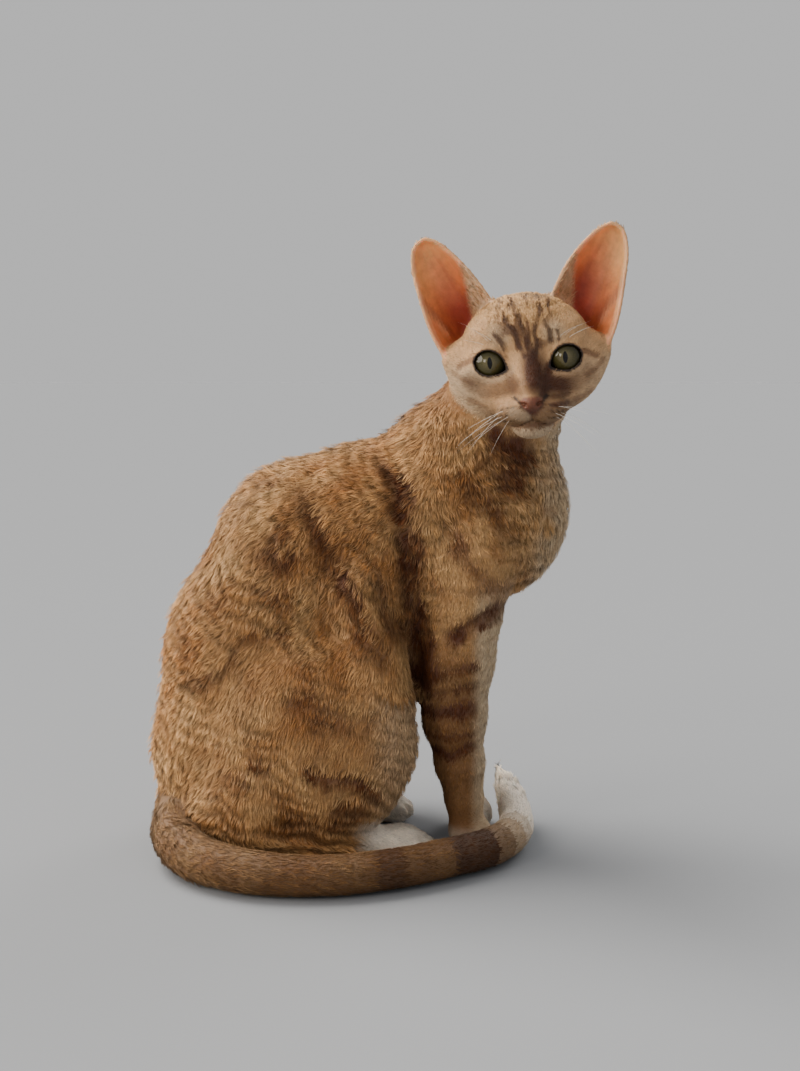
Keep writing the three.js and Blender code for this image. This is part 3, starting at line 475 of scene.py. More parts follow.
def outlineDistance(px, pz, outline, closed=True):
    # distance in a plane to a closed outline, negative inside, or to an open line
    shape = np.broadcast_shapes(np.shape(px), np.shape(pz))
    best = np.full(shape, far)
    inside = np.zeros(shape, bool)
    ends = np.roll(outline, -1, axis=0) if closed else outline[1:]
    for (ax, az), (bx, bz) in zip(outline, ends):
        ex, ez = bx - ax, bz - az
        share = np.clip(((px - ax) * ex + (pz - az) * ez) / (ex * ex + ez * ez), 0, 1)
        best = np.minimum(best, np.hypot(px - ax - ex * share, pz - az - ez * share))
        if closed and az != bz:
            inside ^= ((az > pz) != (bz > pz)) & (px < ex * (pz - az) / ez + ax)
    return np.where(inside, -best, best)


def eyeOutline(hx, hz):
    return outlineDistance(np.abs(hx) - eyeX, hz, almondLine)


def headBox(low, high):
    corners = fromHead([(x, y, z) for x in (low[0], high[0]) for y in (low[1], high[1])
                        for z in (low[2], high[2])])
    return corners.min(0) + boxMargin - 2, corners.max(0) - boxMargin + 2


def eyeOpening():
    def distance(x, y, z):
        hx, hy, hz = toHead(x, y, z)
        opening = np.maximum(eyeOutline(hx, hz), hy + cat["eyeForward"] + 3)
        socket = np.sqrt((np.abs(hx) - eyeX) ** 2 + (hy + cat["eyeForward"]) ** 2 + hz ** 2)
        return np.minimum(opening, socket - cat["eyeRadius"] - 0.1)
    return distance, *headBox((-32, -20, -12), (32, 10, 12))


lip = {"width": 0.7, "depth": 0.8, "front": -6}
philtrum = np.array([(0, -26.2), (0, -29.8)])
lipHalf = [(0, -29.6), (3.5, -31), (7.5, -32.6), (11.5, -32.2), (14.5, -30.4)]
lipLine = np.array([(-x, z) for x, z in lipHalf[:0:-1]] + lipHalf, float)


def mouthLine(hx, hz):
    lips = outlineDistance(hx, hz, lipLine, closed=False)
    return np.minimum(lips, outlineDistance(hx, hz, philtrum, closed=False) + 0.15)


nostrilForms = bothSides(  # the hole, then the slit of its wing
    lambda s: ball((s * 3.4, 1.7 - nose, -21.9), (1.35, 2.3, 1.1), (0, 0, s * 20), onHead=True))
nostrilForms += bothSides(
    lambda s: ball((s * 5.2, 3.2 - nose, -21.1), (2.3, 1.9, 0.55), (0, s * -14, 0), onHead=True))

# How deep the skin lies under the coat that the solids show
coatDepth = {"trunk": 2.3, "legs": 0.8, "head": 0.3, "tail": 1.7}


def foldDepth(x, z):
    total = 0
    for deep, width, line in folds:
        away = outlineDistance(x, z, np.array(line, float), closed=False)
        total = total + deep * (1 - ramp(away, 0, width))
    return total


def legShape(leg, x, y, z):
    shape = together(leg["forms"], leg["melt"], x, y, z)
    return applyForms(shape, leg["toes"], melt["toes"], x, y, z)


def headShape(x, y, z):
    skull = together(skullForms, melt["skull"], x, y, z)
    head = blend(skull, together(muzzleForms, melt["muzzle"], x, y, z), melt["face"])
    return applyForms(head, lidForms, melt["lids"], x, y, z)


def skinField(x, y, z):
    torso = together(torsoForms, melt["trunk"], x, y, z)
    limbs = np.full(torso.shape, far)
    for leg in legs.values():
        limbs = np.minimum(limbs, legShape(leg, x, y, z))
    body = blend(torso, limbs, melt["limbs"])
    head = headShape(x, y, z)
    # the coat is thin near the floor and on the forelegs, thicker up the trunk
    height = np.clip((z - 30) / 60, 0, 1)
    onLeg = np.clip(1 - (limbs - torso + 4) / 8, 0, 1) * (x > 34)
    depth = coatDepth["legs"] + (coatDepth["trunk"] - coatDepth["legs"]) * height * (1 - onLeg)
    awayFromHead = np.clip(head / 24, 0, 1)
    depth = coatDepth["head"] + (depth - coatDepth["head"]) * awayFromHead
    field = blend(body, head, melt["neck"])
    applyForms(field, [tailHead], melt["tailRoot"], x, y, z)
    field = field + depth + foldDepth(x, z) * ramp(np.abs(y), 14, 30)
    applyForms(field, earForms, melt["ears"], x, y, z)
    tail = together(tailForms, melt["tailLine"], x, y, z) + coatDepth["tail"]
    field = blend(field, tail, melt["tail"])
    applyForms(field, nostrilForms, melt["nostrils"], x, y, z, mix=carve)
    applyForms(field, [eyeOpening()], melt["eyes"], x, y, z, mix=carve)

    def lipCut(px, py, pz):
        hx, hy, hz = toHead(px, py, pz)
        return np.maximum(mouthLine(hx, hz) - lip["width"] / 2, hy - lip["front"])
    lipForm = (lipCut, *headBox((-17, -36, -36), (17, 0, -24)))
    bed = applyForms(np.full(field.shape, far), [lipForm], 0.1, x, y, z)
    field = np.where(bed < 50, carve(field, np.maximum(bed, -(field + lip["depth"])), 0.5), field)
    return np.maximum(field, -z)


def gridLine(low, high, coarse, fine, fineLow, fineHigh):
    # a line of the grid, finer where the head is
    out = [low]
    while out[-1] < high:
        at = out[-1]
        away = max(fineLow - at, at - fineHigh, 0)
        out.append(at + min(coarse, fine + away * 0.12))
    return np.array(out)


net = {"coarse": 2.3, "fine": 0.9}  # millimetres to a cell
gridLines = (
    gridLine(-132, 146, net["coarse"], net["fine"], 34, 142),
    gridLine(-112, 90, net["coarse"], net["fine"], -74, 2),
    gridLine(-4, 342, net["coarse"], net["fine"], 224, 338),
)


def netSurface(value, lines):
    # one point for each cell that the surface crosses, one quad for each crossed edge
    sizes = np.array(value.shape)
    strides = np.array([sizes[1] * sizes[2], sizes[2], 1])
    below = value < 0
    cells, places, edges = [], [], []
    for axis in range(3):
        first = tuple(slice(0, -1) if n == axis else slice(None) for n in range(3))
        second = tuple(slice(1, None) if n == axis else slice(None) for n in range(3))
        index = np.argwhere(below[first] != below[second])
        others = [n for n in range(3) if n != axis]
        index = index[np.all([(index[:, n] > 0) & (index[:, n] < sizes[n] - 1) for n in others], axis=0)]
        end = index.copy()
        end[:, axis] += 1
        a, b = value[tuple(index.T)], value[tuple(end.T)]
        place = np.stack([lines[n][index[:, n]] for n in range(3)], axis=1)
        place[:, axis] += (lines[axis][end[:, axis]] - place[:, axis]) * a / (a - b)
        around = []
        for backU, backW in ((1, 1), (0, 1), (0, 0), (1, 0)):
            cell = index.copy()
            cell[:, (axis + 1) % 3] -= backU
            cell[:, (axis + 2) % 3] -= backW
            around.append(cell @ strides)
        around = np.stack(around, axis=1)
        around[b < 0] = around[b < 0, ::-1]
        edges.append(around)
        cells.append(around.ravel())
        places.append(np.repeat(place, 4, axis=0))
    cells, places = np.concatenate(cells), np.concatenate(places)
    kept, home = np.unique(cells, return_inverse=True)
    count = np.bincount(home)
    points = np.stack([np.bincount(home, places[:, n]) / count for n in range(3)], axis=1)
    quads = np.searchsorted(kept, np.concatenate(edges))
    return points, quads


value = skinField(gridLines[0][:, None, None], gridLines[1][None, :, None], gridLines[2][None, None, :])
report(f"field on a grid of {value.shape}")
skinPoints, skinQuads = netSurface(value, gridLines)
report(f"skin of {len(skinQuads)} quads")

# The parts of the body, by the number of their distance in bodyParts
trunkPart, forelegParts, hindlegParts, tailPart, headPart, earPart = 0, (1, 2), (3, 4), 5, 6, 7


def bodyParts(points):
    # which part each point belongs to, and what the markings and the coat need to know of it
    x, y, z = points.T
    gaps = [together(torsoForms, melt["trunk"], x, y, z)]
    gaps += [legShape(leg, x, y, z) for leg in legs.values()]
    gaps.append(together(tailForms, melt["tailLine"], x, y, z))
    gaps.append(headShape(x, y, z))
    onHead = headPoints(points)
    nearEar = earNearest(onHead)
    gaps.append(nearEar[:, 0] - ear["half"] - 0.6)
    gaps = np.array(gaps)
    tailAt = np.linalg.norm(points[:, None] - tailLine[None, ::2], axis=2).argmin(1) * 2 / (tailCount - 1)
    return {"part": gaps.argmin(0), "gaps": gaps, "head": onHead, "ear": nearEar, "tailAt": tailAt}


# Markings, the same for skin and coat: an orange tabby with paler chest, belly, paws and tail tip, with
# painted light and shade laid in among them
marks = {name: linear(shade) for name, shade in {
    "light": "CFA069", "middle": "A36C38", "dark": "5E3012", "cream": "DFC5A0", "tan": "CC9F70",
    "brow": "C29462", "stripe": "3F1E0A", "rim": "20110B", "nose": "6E3C24", "pale": "D9BE9C",
    "white": "FBEEDC", "smudge": "4C260E", "bridge": "4B250C", "leg": "865B33", "muzzle": "886848",
}.items()}
# How bright each region is beside the colours above; the lighter back and rump are painted light, the darker
# tail is partly painted shade, and the skin is a little darker as painted shade under the coat
bright = {"body": 0.68, "head": 0.82, "paws": 1.2, "tailTip": 1.25, "tail": 0.52, "litBackAndRump": 0.24, "skin": 0.95}
# Stripes of the sides, and painted shade in the folds, valleys and creases of the coat, drawn from the side
# in x and z: shade, strength, half width, then the line
sideStripesAndShade = [
    # painted shade in the long fold down the flank
    ("dark", 0.75, 6.5, [(-24, 196), (-24, 189), (-16, 170), (-8, 154), (-1, 143), (5, 125), (15, 116)]),
    ("dark", 0.6, 6, [(-40, 178), (-47, 167), (-40, 163), (-33, 164)]),
    ("dark", 0.5, 5, [(-52, 150), (-44, 146), (-36, 143)]),
    # painted shade in a fold of the flank
    ("dark", 0.6, 4.5, [(9, 152), (15, 138), (22, 126)]),
    # painted shade in the valley behind the shoulder
    ("dark", 0.95, 9, [(23, 202), (28, 164), (32, 129), (33, 98)]),
    ("dark", 0.6, 5, [(11, 214), (20, 208)]),
    ("dark", 0.55, 2.6, [(-54, 202), (-43, 202)]),
    ("dark", 0.5, 2.4, [(-61, 191), (-55, 191)]),
    # painted shade under a lock of the flank
    ("dark", 0.55, 3.2, [(-61, 118), (-52, 123), (-33, 127)]),
    ("dark", 0.5, 6.5, [(-34, 93), (-13, 87), (8, 83)]),
    ("dark", 0.5, 5, [(-21, 82), (-5, 79)]),
    ("dark", 0.8, 4, [(-26, 57), (-10, 53), (2, 51), (10, 45)]),
    ("dark", 0.7, 5, [(-56, 62), (-46, 60)]),
    ("dark", 0.6, 4.5, [(-57, 52), (-67, 53)]),
    ("dark", 0.75, 4, [(-11, 37), (-1, 40), (10, 44)]),
    ("dark", 0.6, 4, [(-11, 28), (-4, 32), (4, 35)]),
    ("dark", 0.35, 5, [(-35, 25), (-21, 30)]),
    ("dark", 0.5, 5, [(-87, 100), (-73, 104), (-62, 110)]),
    # painted shade low on the rump
    ("dark", 0.45, 5, [(-93, 39), (-87, 29)]),
    ("dark", 0.65, 7.5, [(46, 179), (53, 170), (60, 161), (66, 156)]),
    ("dark", 0.5, 8, [(58, 199), (65, 194), (76, 183), (81, 176)]),
    ("dark", 0.65, 4.5, [(73, 201), (87, 197), (101, 191)]),
    # painted shade on the side of the neck
    ("dark", 0.45, 9, [(69, 218), (82, 206)]),
    # painted shade in the crease under the elbow
    ("dark", 0.85, 8, [(52, 123), (63, 131), (73, 137)]),
    ("dark", 0.5, 3.5, [(38, 148), (53, 149), (77, 150)]),
    ("dark", 0.7, 3, [(32, 100), (46, 102), (60, 107)]),
    ("dark", 0.8, 3.4, [(53, 93), (61, 93)]),
    ("dark", 0.5, 2.4, [(35, 93), (45, 91)]),
    ("dark", 0.95, 5.6, [(32, 82), (46, 81), (60, 81)]),
    ("dark", 0.55, 3, [(38, 68), (61, 67)]),
    ("dark", 0.9, 4.2, [(41, 59), (49, 55.5), (60, 59)]),
    ("light", 0.75, 5.5, [(64, 184), (64, 167), (69, 159), (78, 158)]),
    ("light", 0.7, 5, [(78, 199), (87, 194), (101, 180)]),
    ("light", 0.6, 4.5, [(89, 204), (95, 197)]),
    ("light", 0.7, 7.5, [(43, 163), (50, 153)]),
    ("light", 0.7, 7.5, [(33, 187), (43, 173)]),
    ("light", 0.4, 6, [(39, 144), (52, 140)]),
    # painted shadow on the throat, under the chin
    ("dark", 0.85, 10.5, [(74, 228), (86, 224), (86, 213), (80, 205)]),
    ("light", 0.6, 6, [(97, 221), (102, 205)]),
]
# Rings of the tail: share of its length, then how dark
tailRings = [
    (0.0, 0.25), (0.3, 0.2), (0.36, 0.5), (0.42, 0.2), (0.475, 0.25), (0.495, 0.8), (0.52, 0.8), (0.54, 0.1),
    (0.585, 0.1), (0.6, 1.0), (0.636, 1.0), (0.652, 0.2), (0.7, 0.25), (0.74, 0.1), (1.0, 0.0),
]
# The nose leather's outline and the wing of the nostril, in the head's own x and z
nosePad = np.array([(-5.6, -20), (-3.8, -18.3), (3.8, -18.3), (5.6, -20),
                    (4, -23.2), (1.2, -26.8), (-1.2, -26.8), (-4, -23.2)])
nostrilWing = [(8.4, -18), (6.4, -19.6), (5, -21.6), (3.4, -23.8)]
# Stripes of the forehead, in the head's own x and z: half width, then the line
browStripes = [
    (1.8, [(-15.5, 14), (-13, 10), (-11.2, 6)]), (1.9, [(-9.4, 21), (-7.4, 16.6), (-3.9, 7.3), (-1.6, 2)]),
    (2.3, [(-3.4, 22.4), (-0.6, 14), (0.6, 7.3), (1.2, -1.5)]),
    (1.9, [(7.9, 26), (5.2, 17.7), (4.3, 7.2), (2.6, 1)]), (1.9, [(10.2, 19), (11.2, 14), (12.4, 8.5)]),
    (1.4, [(15, 14), (16, 9)]), (1.2, [(-13, 26), (-11.5, 32)]), (1.2, [(-7, 26.5), (-6, 32)]),
    (1.2, [(1.5, 27), (1, 33)]), (1.2, [(7, 30), (6.5, 34)]), (1.2, [(12, 25), (13.4, 30)]),
]
# Stripes beside the eyes and on the cheeks, the same on both sides: strength, then the line
cheekStripes = [
    (0.65, [(26, 2.4), (30, 1.6), (35, -0.5)]), (0.45, [(23, -21.6), (27, -19.6), (31, -18)]),
    (0.45, [(29, -9.5), (34, -7), (38, -3)]),
]


def lineMark(across, up, line, width):
    return 1 - ramp(outlineDistance(across, up, np.array(line, float), closed=False), width * 0.3, width)


def spotMark(across, up, inner, outer):
    return 1 - ramp(np.hypot(across, up), inner, outer)


def layered(colour, layers):
    # each marking is laid over those before it
    for shade, share in layers:
        colour = mixColours(colour, marks[shade], share)
    return colour


def whiskerDots(hz, side):
    # four rows of dots on each whisker pad, this far apart
    apart, top = 3.2, 22.2
    rows = np.abs((hz + top + side * 0.06) / apart % 1 - 0.5) * 2
    dots = ramp(rows, 0.4, 0.95) * ramp(np.sin(side * 2.4 + np.floor((hz + top) / apart) * 1.7), -0.5, 0.5)
    return dots * ramp(side, 7, 9) * ramp(side, 19, 16) * ramp(hz, -31, -29) * ramp(hz, -19, -22)


def faceMarkings(points, place):
    hx, hy, hz = place["head"].T
    front, top, onNose = ramp(hy, 14, -2), ramp(hy, 26, 12), hy < -18
    # the face's own left half, turned away from the side light, is painted in shade: its pale marks are
    # fainter there and its dark ones deeper
    side, shadedHalf = np.abs(hx), hx > 0
    wobble = noise(points, 5, 11) * 0.8
    colour = layered(marks["tan"], [
        ("brow", ramp(hz, 0, 14) * ramp(side, 28, 12) * 0.85),
        ("light", ramp(hz, 16, 30) * 0.6),
        ("muzzle", ramp(hz, -17, -26) * front),
        # the outer cheeks are paler, partly their own colour and partly painted rim light, and fainter on
        # the shaded half
        ("pale", ramp(side, 16, 32) * ramp(hz, 6, -8) * np.where(shadedHalf, 0.35, 0.75)),
        ("pale", spotMark(side - 13.5, hz - 13, 2, 9) * front * 0.55),
    ])
    colour = colour * (1 + 0.1 * noise(points, 3.2, 12) + 0.06 * noise(points, 1.4, 14))[:, None]
    underEye = (1 - ramp(np.abs(eyeOutline(hx, hz) - 2.6), 0.6, 3)) * ramp(hz, 0, -6)
    smudge = lineMark(side, hz + wobble, [(8.5, -11.5), (13, -13), (22.5, -13.8), (30, -8.6)], 6.5)
    tear = lineMark(side, hz, [(10.4, -4), (8.6, -10), (6.4, -17)], 3.8)
    # painted shade under the eye, on the face's shaded half only
    cheek = ramp(hx, 0, 8) * ramp(hz, -4, -14) * ramp(hz, -30, -18) * ramp(hx, 26, 14)
    # the forehead's broken dark strokes, a few long ones and many fine ones between
    fine = noise(np.stack([hx + wobble, hz * 0.22, np.zeros(len(hx))], axis=1), 1.7, 16)
    brow = ramp(side, 17, 10) * ramp(hz, -1, 6) * ramp(hz, 36, 24) * top
    strokes = []
    for width, line in browStripes:
        mark = lineMark(hx + wobble * 1.5, hz, line, width * 1.05) * (0.95 + 0.4 * noise(points, 3, 17))
        strokes.append(("stripe", np.clip(mark, 0, 1) * top * 0.84))
    bars = np.maximum(lineMark(hx, hz, [(10.5, -23), (18.5, -22.6)], 2.0),
                      lineMark(hx, hz, [(11, -19), (19, -18.4)], 1.8) * 0.7)
    lips = (1 - ramp(mouthLine(hx, hz), 0.2, 1.5)) * ramp(hy, -8, -12) * ramp(side, 16, 5)
    wet = (1 - ramp(np.abs(eyeOutline(hx, hz) - 0.1 - 0.3 * ramp(hz, 1, -5)), 0.7, 1.3)) * ramp(hy, 4, -2)
    return layered(colour, [
        ("pale", underEye * front * np.where(shadedHalf, 0.2, 0.4)),
        ("smudge", smudge * front * np.where(shadedHalf, 0.4 + 0.55 * ramp(side, 27, 16), 0.55)),
        ("smudge", tear * front * np.where(shadedHalf, 0.95, 0.45)),
        # the nose bridge's brown, partly its own colour and partly painted shade, set toward the shaded half
        ("bridge", spotMark((hx - 2.2 - wobble) / 8.6, (hz + 6) / 17, 0.35, 1.1) * front),
        ("bridge", cheek * front * 0.55),
        ("bridge", ramp(fine, 0.02, 0.36) * brow * 0.76),
        *strokes,
        *(("dark", lineMark(side, hz + wobble, line, 2.3) * strength * ramp(hy, 24, 10))
          for strength, line in cheekStripes),
        # the nostril's wing and the edge of the leather below it
        ("rim", lineMark(side, hz, nostrilWing, 1.3) * onNose * 0.85),
        ("smudge", lineMark(side, hz, [(5.4, -22.5), (1.6, -27)], 1.5) * onNose * 0.7),
        ("rim", whiskerDots(hz, side) * front * 0.85),
        ("pale", ramp(side, 15, 9) * ramp(hz, -32.5, -34.5) * front * 0.6),
        # the dark patch under the mouth, partly the lower lip's own colour and partly painted shade under
        # the upper lip
        ("smudge", spotMark((hx - 0.8) / 7, (hz + 32.8) / 2.6, 0.4, 1.1) * front * 0.6),
        ("bridge", bars * front * 0.8),
        ("pale", lineMark(hx, hz, [(-9, -25.5), (-3, -27.5)], 4) * 0.4 * front),
        ("smudge", lips * 0.4),
        ("rim", wet * 0.97),
    ])


def trunkMarkings(points, place):
    x, y, z = points.T
    wander, ripple = noise(points, 28, 1), noise(points, 9, 2)
    colour = mixColours(marks["middle"], marks["light"], np.clip(0.5 + 0.45 * wander + 0.45 * ripple, 0, 1))
    # sun has bleached the tips along back and rump
    # painted light: the top of the back and the rump are lighter, where the light falls on them
    litBackAndRump = np.maximum(ramp(z, 165, 205) * ramp(x, 50, 20), ramp(x, -62, -98) * ramp(z, 20, 60))
    colour = colour * (1 + bright["litBackAndRump"] * litBackAndRump)[:, None]
    along = x * 0.95 + z * 0.35 + 10 * wander + 5 * noise(points, 14, 5)
    bars = ramp(np.sin(along * 2 * np.pi / 30), 0.3, 0.95) * ramp(np.abs(y), 8, 30) * ramp(x, 20, -20)
    # the breast's cream is partly its own colour and partly painted rim light on the front of the chest
    breast = ramp(x, 84, 103) * ramp(z, 110, 140) * ramp(np.abs(y), 44, 22)
    belly = ramp(z, 150, 110) * ramp(x, 6, 20) * (place["part"] == trunkPart) * ramp(np.abs(y), 30, 18)
    return layered(colour, [
        ("dark", bars * 0.25),
        ("dark", ramp(np.abs(y), 15, 4) * ramp(z, 60, 110) * 0.3),
        ("cream", np.maximum(breast * 0.75, belly * 0.85)),
    ])


def legMarkings(colour, points, place):
    x, _, z = points.T
    fore, hind = np.isin(place["part"], forelegParts), np.isin(place["part"], hindlegParts)
    # the forelegs' front edge is paler, partly its own cream and partly painted rim light
    edge = ramp(x, 58, 66) * fore * ramp(z, 160, 130)
    knee = hind * ramp(x, 2, 20) * ramp(z, 112, 88) * 0.4 + hind * ramp(x, -6, 10) * ramp(z, 24, 16) * 0.9
    # the forelegs are browner below the elbow, partly their own colour and partly painted shade
    return layered(colour, [("leg", ramp(z, 135, 90) * fore * 0.85),
                            ("cream", np.clip(np.maximum(knee, edge * 0.8), 0, 1))])


def sideMarkings(colour, points, place):
    # the far side has the same stripes and painted shade, wandering a little differently
    x, y, z = points.T
    part = place["part"]
    across = x + 3 * noise(points, 15, 51) + 1.2 * noise(points, 5, 52)
    up = z + 3 * noise(points, 15, 53) + 1.2 * noise(points, 5, 54)
    outward = np.where(np.isin(part, forelegParts), 1, ramp(np.abs(y), 8, 24))
    broken = 1.0 + 0.45 * noise(points, 6, 55)
    for shade, strength, width, line in sideStripesAndShade:
        mark = lineMark(across, up, line, width * 1.2) * outward * broken
        colour = mixColours(colour, marks[shade], np.clip(mark * strength, 0, 1))
    paws = (np.isin(part, hindlegParts) * ramp(x, -6, 10) * ramp(z, 30, 20)
            + (part == forelegParts[0]) * ramp(z, 34, 18) + (part == forelegParts[1]) * ramp(z, 16, 8) * 0.4)
    return mixColours(colour, marks["white"] * bright["paws"], np.clip(paws, 0, 1) * 0.92)


def tailMarkings(points, place):
    at = place["tailAt"]
    dark = np.interp(at + noise(points, 8, 13) * 0.006, *np.array(tailRings).T)
    colour = mixColours(marks["middle"], marks["light"], np.clip(0.5 + 0.4 * noise(points, 9, 2), 0, 1))
    # the tail's coat is darker than the body's, partly its own colour and partly painted shade
    colour = mixColours(colour * bright["tail"], marks["leg"] * 0.65, ramp(at, 0.3, 0.5) * 0.5)
    colour = layered(colour, [("stripe", dark * 0.8), ("pale", ramp(at, 0.65, 0.7) * 0.6)])
    return mixColours(colour, marks["white"] * bright["tailTip"], ramp(at, 0.7, 0.78) * 0.97)


earMarks = {name: linear(shade) for name, shade in {
    "glow": "E0A566", "warm": "DB8752", "deep": "9A3420", "edge": "E6B68C",
}.items()}
# the pocket low on the outer rim, shown only by a painted highlight on its lip and painted shade in its
# crease: share across the ear, then share up it
earFold = np.array([(1.02, 0.36), (0.93, 0.27), (0.84, 0.2), (0.78, 0.1)])


def furInEar(place):
    # the inner wall of the cup, along its medial rim, has fur; the rest of the lining is bare
    rise, across = place["ear"].T[2:]
    return ramp(across - 0.36 * (1 - rise / 0.36), 0.1, -0.06)


def earMarkings(points, place):
    side, rise, across = place["ear"].T[1:]
    # the upper lining is painted in the orange glow of light shining through the thin ear
    lining = mixColours(earMarks["warm"], earMarks["glow"], ramp(rise + 0.3 * across, 0.4, 0.9))
    patchy = noise(points, 9, 25) * 0.08
    low = ramp(rise + patchy, 0.46, 0.1) * ramp(across, 1.04, 0.55)
    blush = ramp(np.hypot((rise - 0.42) / 0.26, (across - 0.42) / 0.3) + patchy * 3, 1.1, 0.3)
    # painted highlight on the pocket's lip, painted shade in its crease
    lip = outlineDistance(across - 0.05, rise - 0.02, earFold, closed=False)
    crease = outlineDistance(across + patchy * 0.2, rise, earFold, closed=False)
    veins = ramp(noise(np.stack([across * 60, rise * 9, side], axis=1), 5, 23), 0.1, 0.7)
    veins = veins * ramp(rise, 0.9, 0.5)
    for shade, share in ((earMarks["deep"], low * 0.95), (earMarks["deep"], blush * 0.18),
                         (earMarks["edge"], ramp(lip, 0.07, 0.01) * 0.4),
                         (earMarks["deep"] * 0.6, ramp(crease, 0.07, 0.01) * 0.5),
                         (earMarks["deep"], veins * 0.22)):
        lining = mixColours(lining, shade, share)
    lining = lining * (1 + 0.1 * noise(points, 5, 26))[:, None]
    wall = mixColours(marks["tan"], marks["pale"], np.clip(0.5 + 0.5 * noise(points, 4, 24), 0, 1))
    lining = mixColours(lining, wall, furInEar(place))
    back = mixColours(marks["middle"], marks["light"], np.clip(0.6 + 0.3 * noise(points, 8, 22), 0, 1))
    out = np.where((side < 0)[:, None], lining, back)
    edge = np.maximum(ramp(np.abs(across - 0.5), 0.475, 0.5), ramp(rise, 0.975, 0.995))
    return mixColours(out, earMarks["edge"], edge * 0.5)


def noseMask(place):
    hx, hy, hz = place["head"].T
    return (1 - ramp(outlineDistance(hx, hz, nosePad), -0.5, 0.7)) * (hy < -21)


def markings(points, place):
    part, gaps = place["part"], place["gaps"]
    colour = legMarkings(trunkMarkings(points, place), points, place)
    colour = sideMarkings(colour, points, place)
    colour = np.where((part == tailPart)[:, None], tailMarkings(points, place), colour)
    beyondBody = gaps[headPart] - np.minimum(gaps[trunkPart], 12)
    towardHead = ramp(beyondBody, 4, -5) * ramp(place["head"][:, 1], 42, 14)
    colour = mixColours(colour, faceMarkings(points, place), towardHead)
    colour = np.where((part == earPart)[:, None], earMarkings(points, place), colour)
    shade = bright["body"] + (bright["head"] - bright["body"]) * towardHead
    colour = colour * np.where(part == earPart, 1.0, shade)[:, None]
    nose = marks["nose"] * (1 - 0.45 * ramp(place["head"][:, 2], -22, -26))[:, None]
    return mixColours(colour, nose, noseMask(place))


def addNode(material, kind, settings=None, links=None):
    tree = material.node_tree
    node = tree.nodes.new(kind)
    for name, setting in (settings or {}).items():
        if name in node.inputs.keys():
            node.inputs[name].default_value = setting
        else:
            setattr(node, name, setting)
    for name, source in (links or {}).items():
        output = source[0].outputs[source[1]] if isinstance(source, tuple) else source.outputs[0]
        tree.links.new(output, node.inputs[name])
    return node


def newMaterial(name):
    material = bpy.data.materials.new(name)
    material.use_nodes = True
    material.node_tree.nodes.clear()
    return material


def finishMaterial(material, shader):
    output = addNode(material, "ShaderNodeOutputMaterial")
    material.node_tree.links.new(shader.outputs[0], output.inputs["Surface"])
    return material


def perMetre(millimetres):
    # the scale of a pattern of this size, because Object coordinates are in metres
    return 1000 / millimetres


def markedColour(material, size, detail, spread, darkest, lightest):
    # the painted markings, a little lighter and darker over this size in millimetres
    where = addNode(material, "ShaderNodeTexCoord")
    marked = addNode(material, "ShaderNodeAttribute", {"attribute_name": "Markings"})
    speckle = addNode(material, "ShaderNodeTexNoise", {"Scale": perMetre(size), "Detail": detail},
                      {"Vector": (where, "Object")})
    lighter = addNode(material, "ShaderNodeMapRange",
                      {"From Min": 0.5 - spread, "From Max": 0.5 + spread,
                       "To Min": darkest, "To Max": lightest}, {"Value": speckle})
    shade = addNode(material, "ShaderNodeVectorMath", {"operation": "SCALE"},
                    {0: (marked, "Color"), "Scale": lighter})
    return where, shade


def coatMaterial(name):
    # short cat hair: its dull scales scatter light, with a soft glow where it is seen along the surface
    material = newMaterial(name)
    _, shade = markedColour(material, 1.3, 2.0, 0.2, 0.82, 1.16)
    shader = addNode(material, "ShaderNodeBsdfPrincipled",
                     {"Roughness": 0.66, "Specular IOR Level": 0.16, "Sheen Weight": 0.14,
                      "Sheen Roughness": 0.4, "Sheen Tint": (1.0, 0.76, 0.5, 1.0)},
                     {"Base Color": shade})
    return finishMaterial(material, shader)


def fleshMaterial(name, roughness, pore, height, subsurface, radius, damp=0.0):
    # living skin: light spreads reddish under it, and pores a fraction of a millimetre deep break its gloss
    material = newMaterial(name)
    where, shade = markedColour(material, pore * 3, 3.0, 0.2, 0.88, 1.1)
    pores = addNode(material, "ShaderNodeTexVoronoi", {"Scale": perMetre(pore)},
                    {"Vector": (where, "Object")})
    bump = addNode(material, "ShaderNodeBump", {"Strength": 0.6, "Distance": height},
                   {"Height": (pores, "Distance")})
    shader = addNode(material, "ShaderNodeBsdfPrincipled",
                     {"Roughness": roughness, "Subsurface Weight": subsurface, "Subsurface Radius": radius,
                      "Subsurface Scale": 0.004, "Coat Weight": damp, "Coat Roughness": 0.25},
                     {"Base Color": shade, "Normal": bump})
    return finishMaterial(material, shader)


downySkin = fleshMaterial("downy_skin_under_short_fur", 0.75, 0.9, 0.00025, 0.15, (1.0, 0.4, 0.2))
noseLeather = fleshMaterial("nose_leather_pebbled", 0.6, 0.55, 0.0002, 0.2, (1.0, 0.35, 0.25), 0.08)
earLining = fleshMaterial("ear_lining_thin_bare_skin", 0.5, 1.1, 0.00012, 0.45, (1.0, 0.3, 0.12))


def makeObject(name, points, faces, materials):
    mesh = bpy.data.meshes.new(name)
    flat = faces.ravel()
    mesh.vertices.add(len(points))
    mesh.vertices.foreach_set("co", toRow(points).astype(np.float32).ravel())
    mesh.loops.add(len(flat))
    mesh.loops.foreach_set("vertex_index", flat.astype(np.int32))
    mesh.polygons.add(len(faces))
    mesh.polygons.foreach_set("loop_start", np.arange(0, len(flat), faces.shape[1], dtype=np.int32))
    mesh.update(calc_edges=True)
    mesh.polygons.foreach_set("use_smooth", np.ones(len(faces), bool))
    for material in materials:
        mesh.materials.append(material)
    made = bpy.data.objects.new(name, mesh)
    bpy.context.scene.collection.objects.link(made)
    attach(made, "root")
    return made


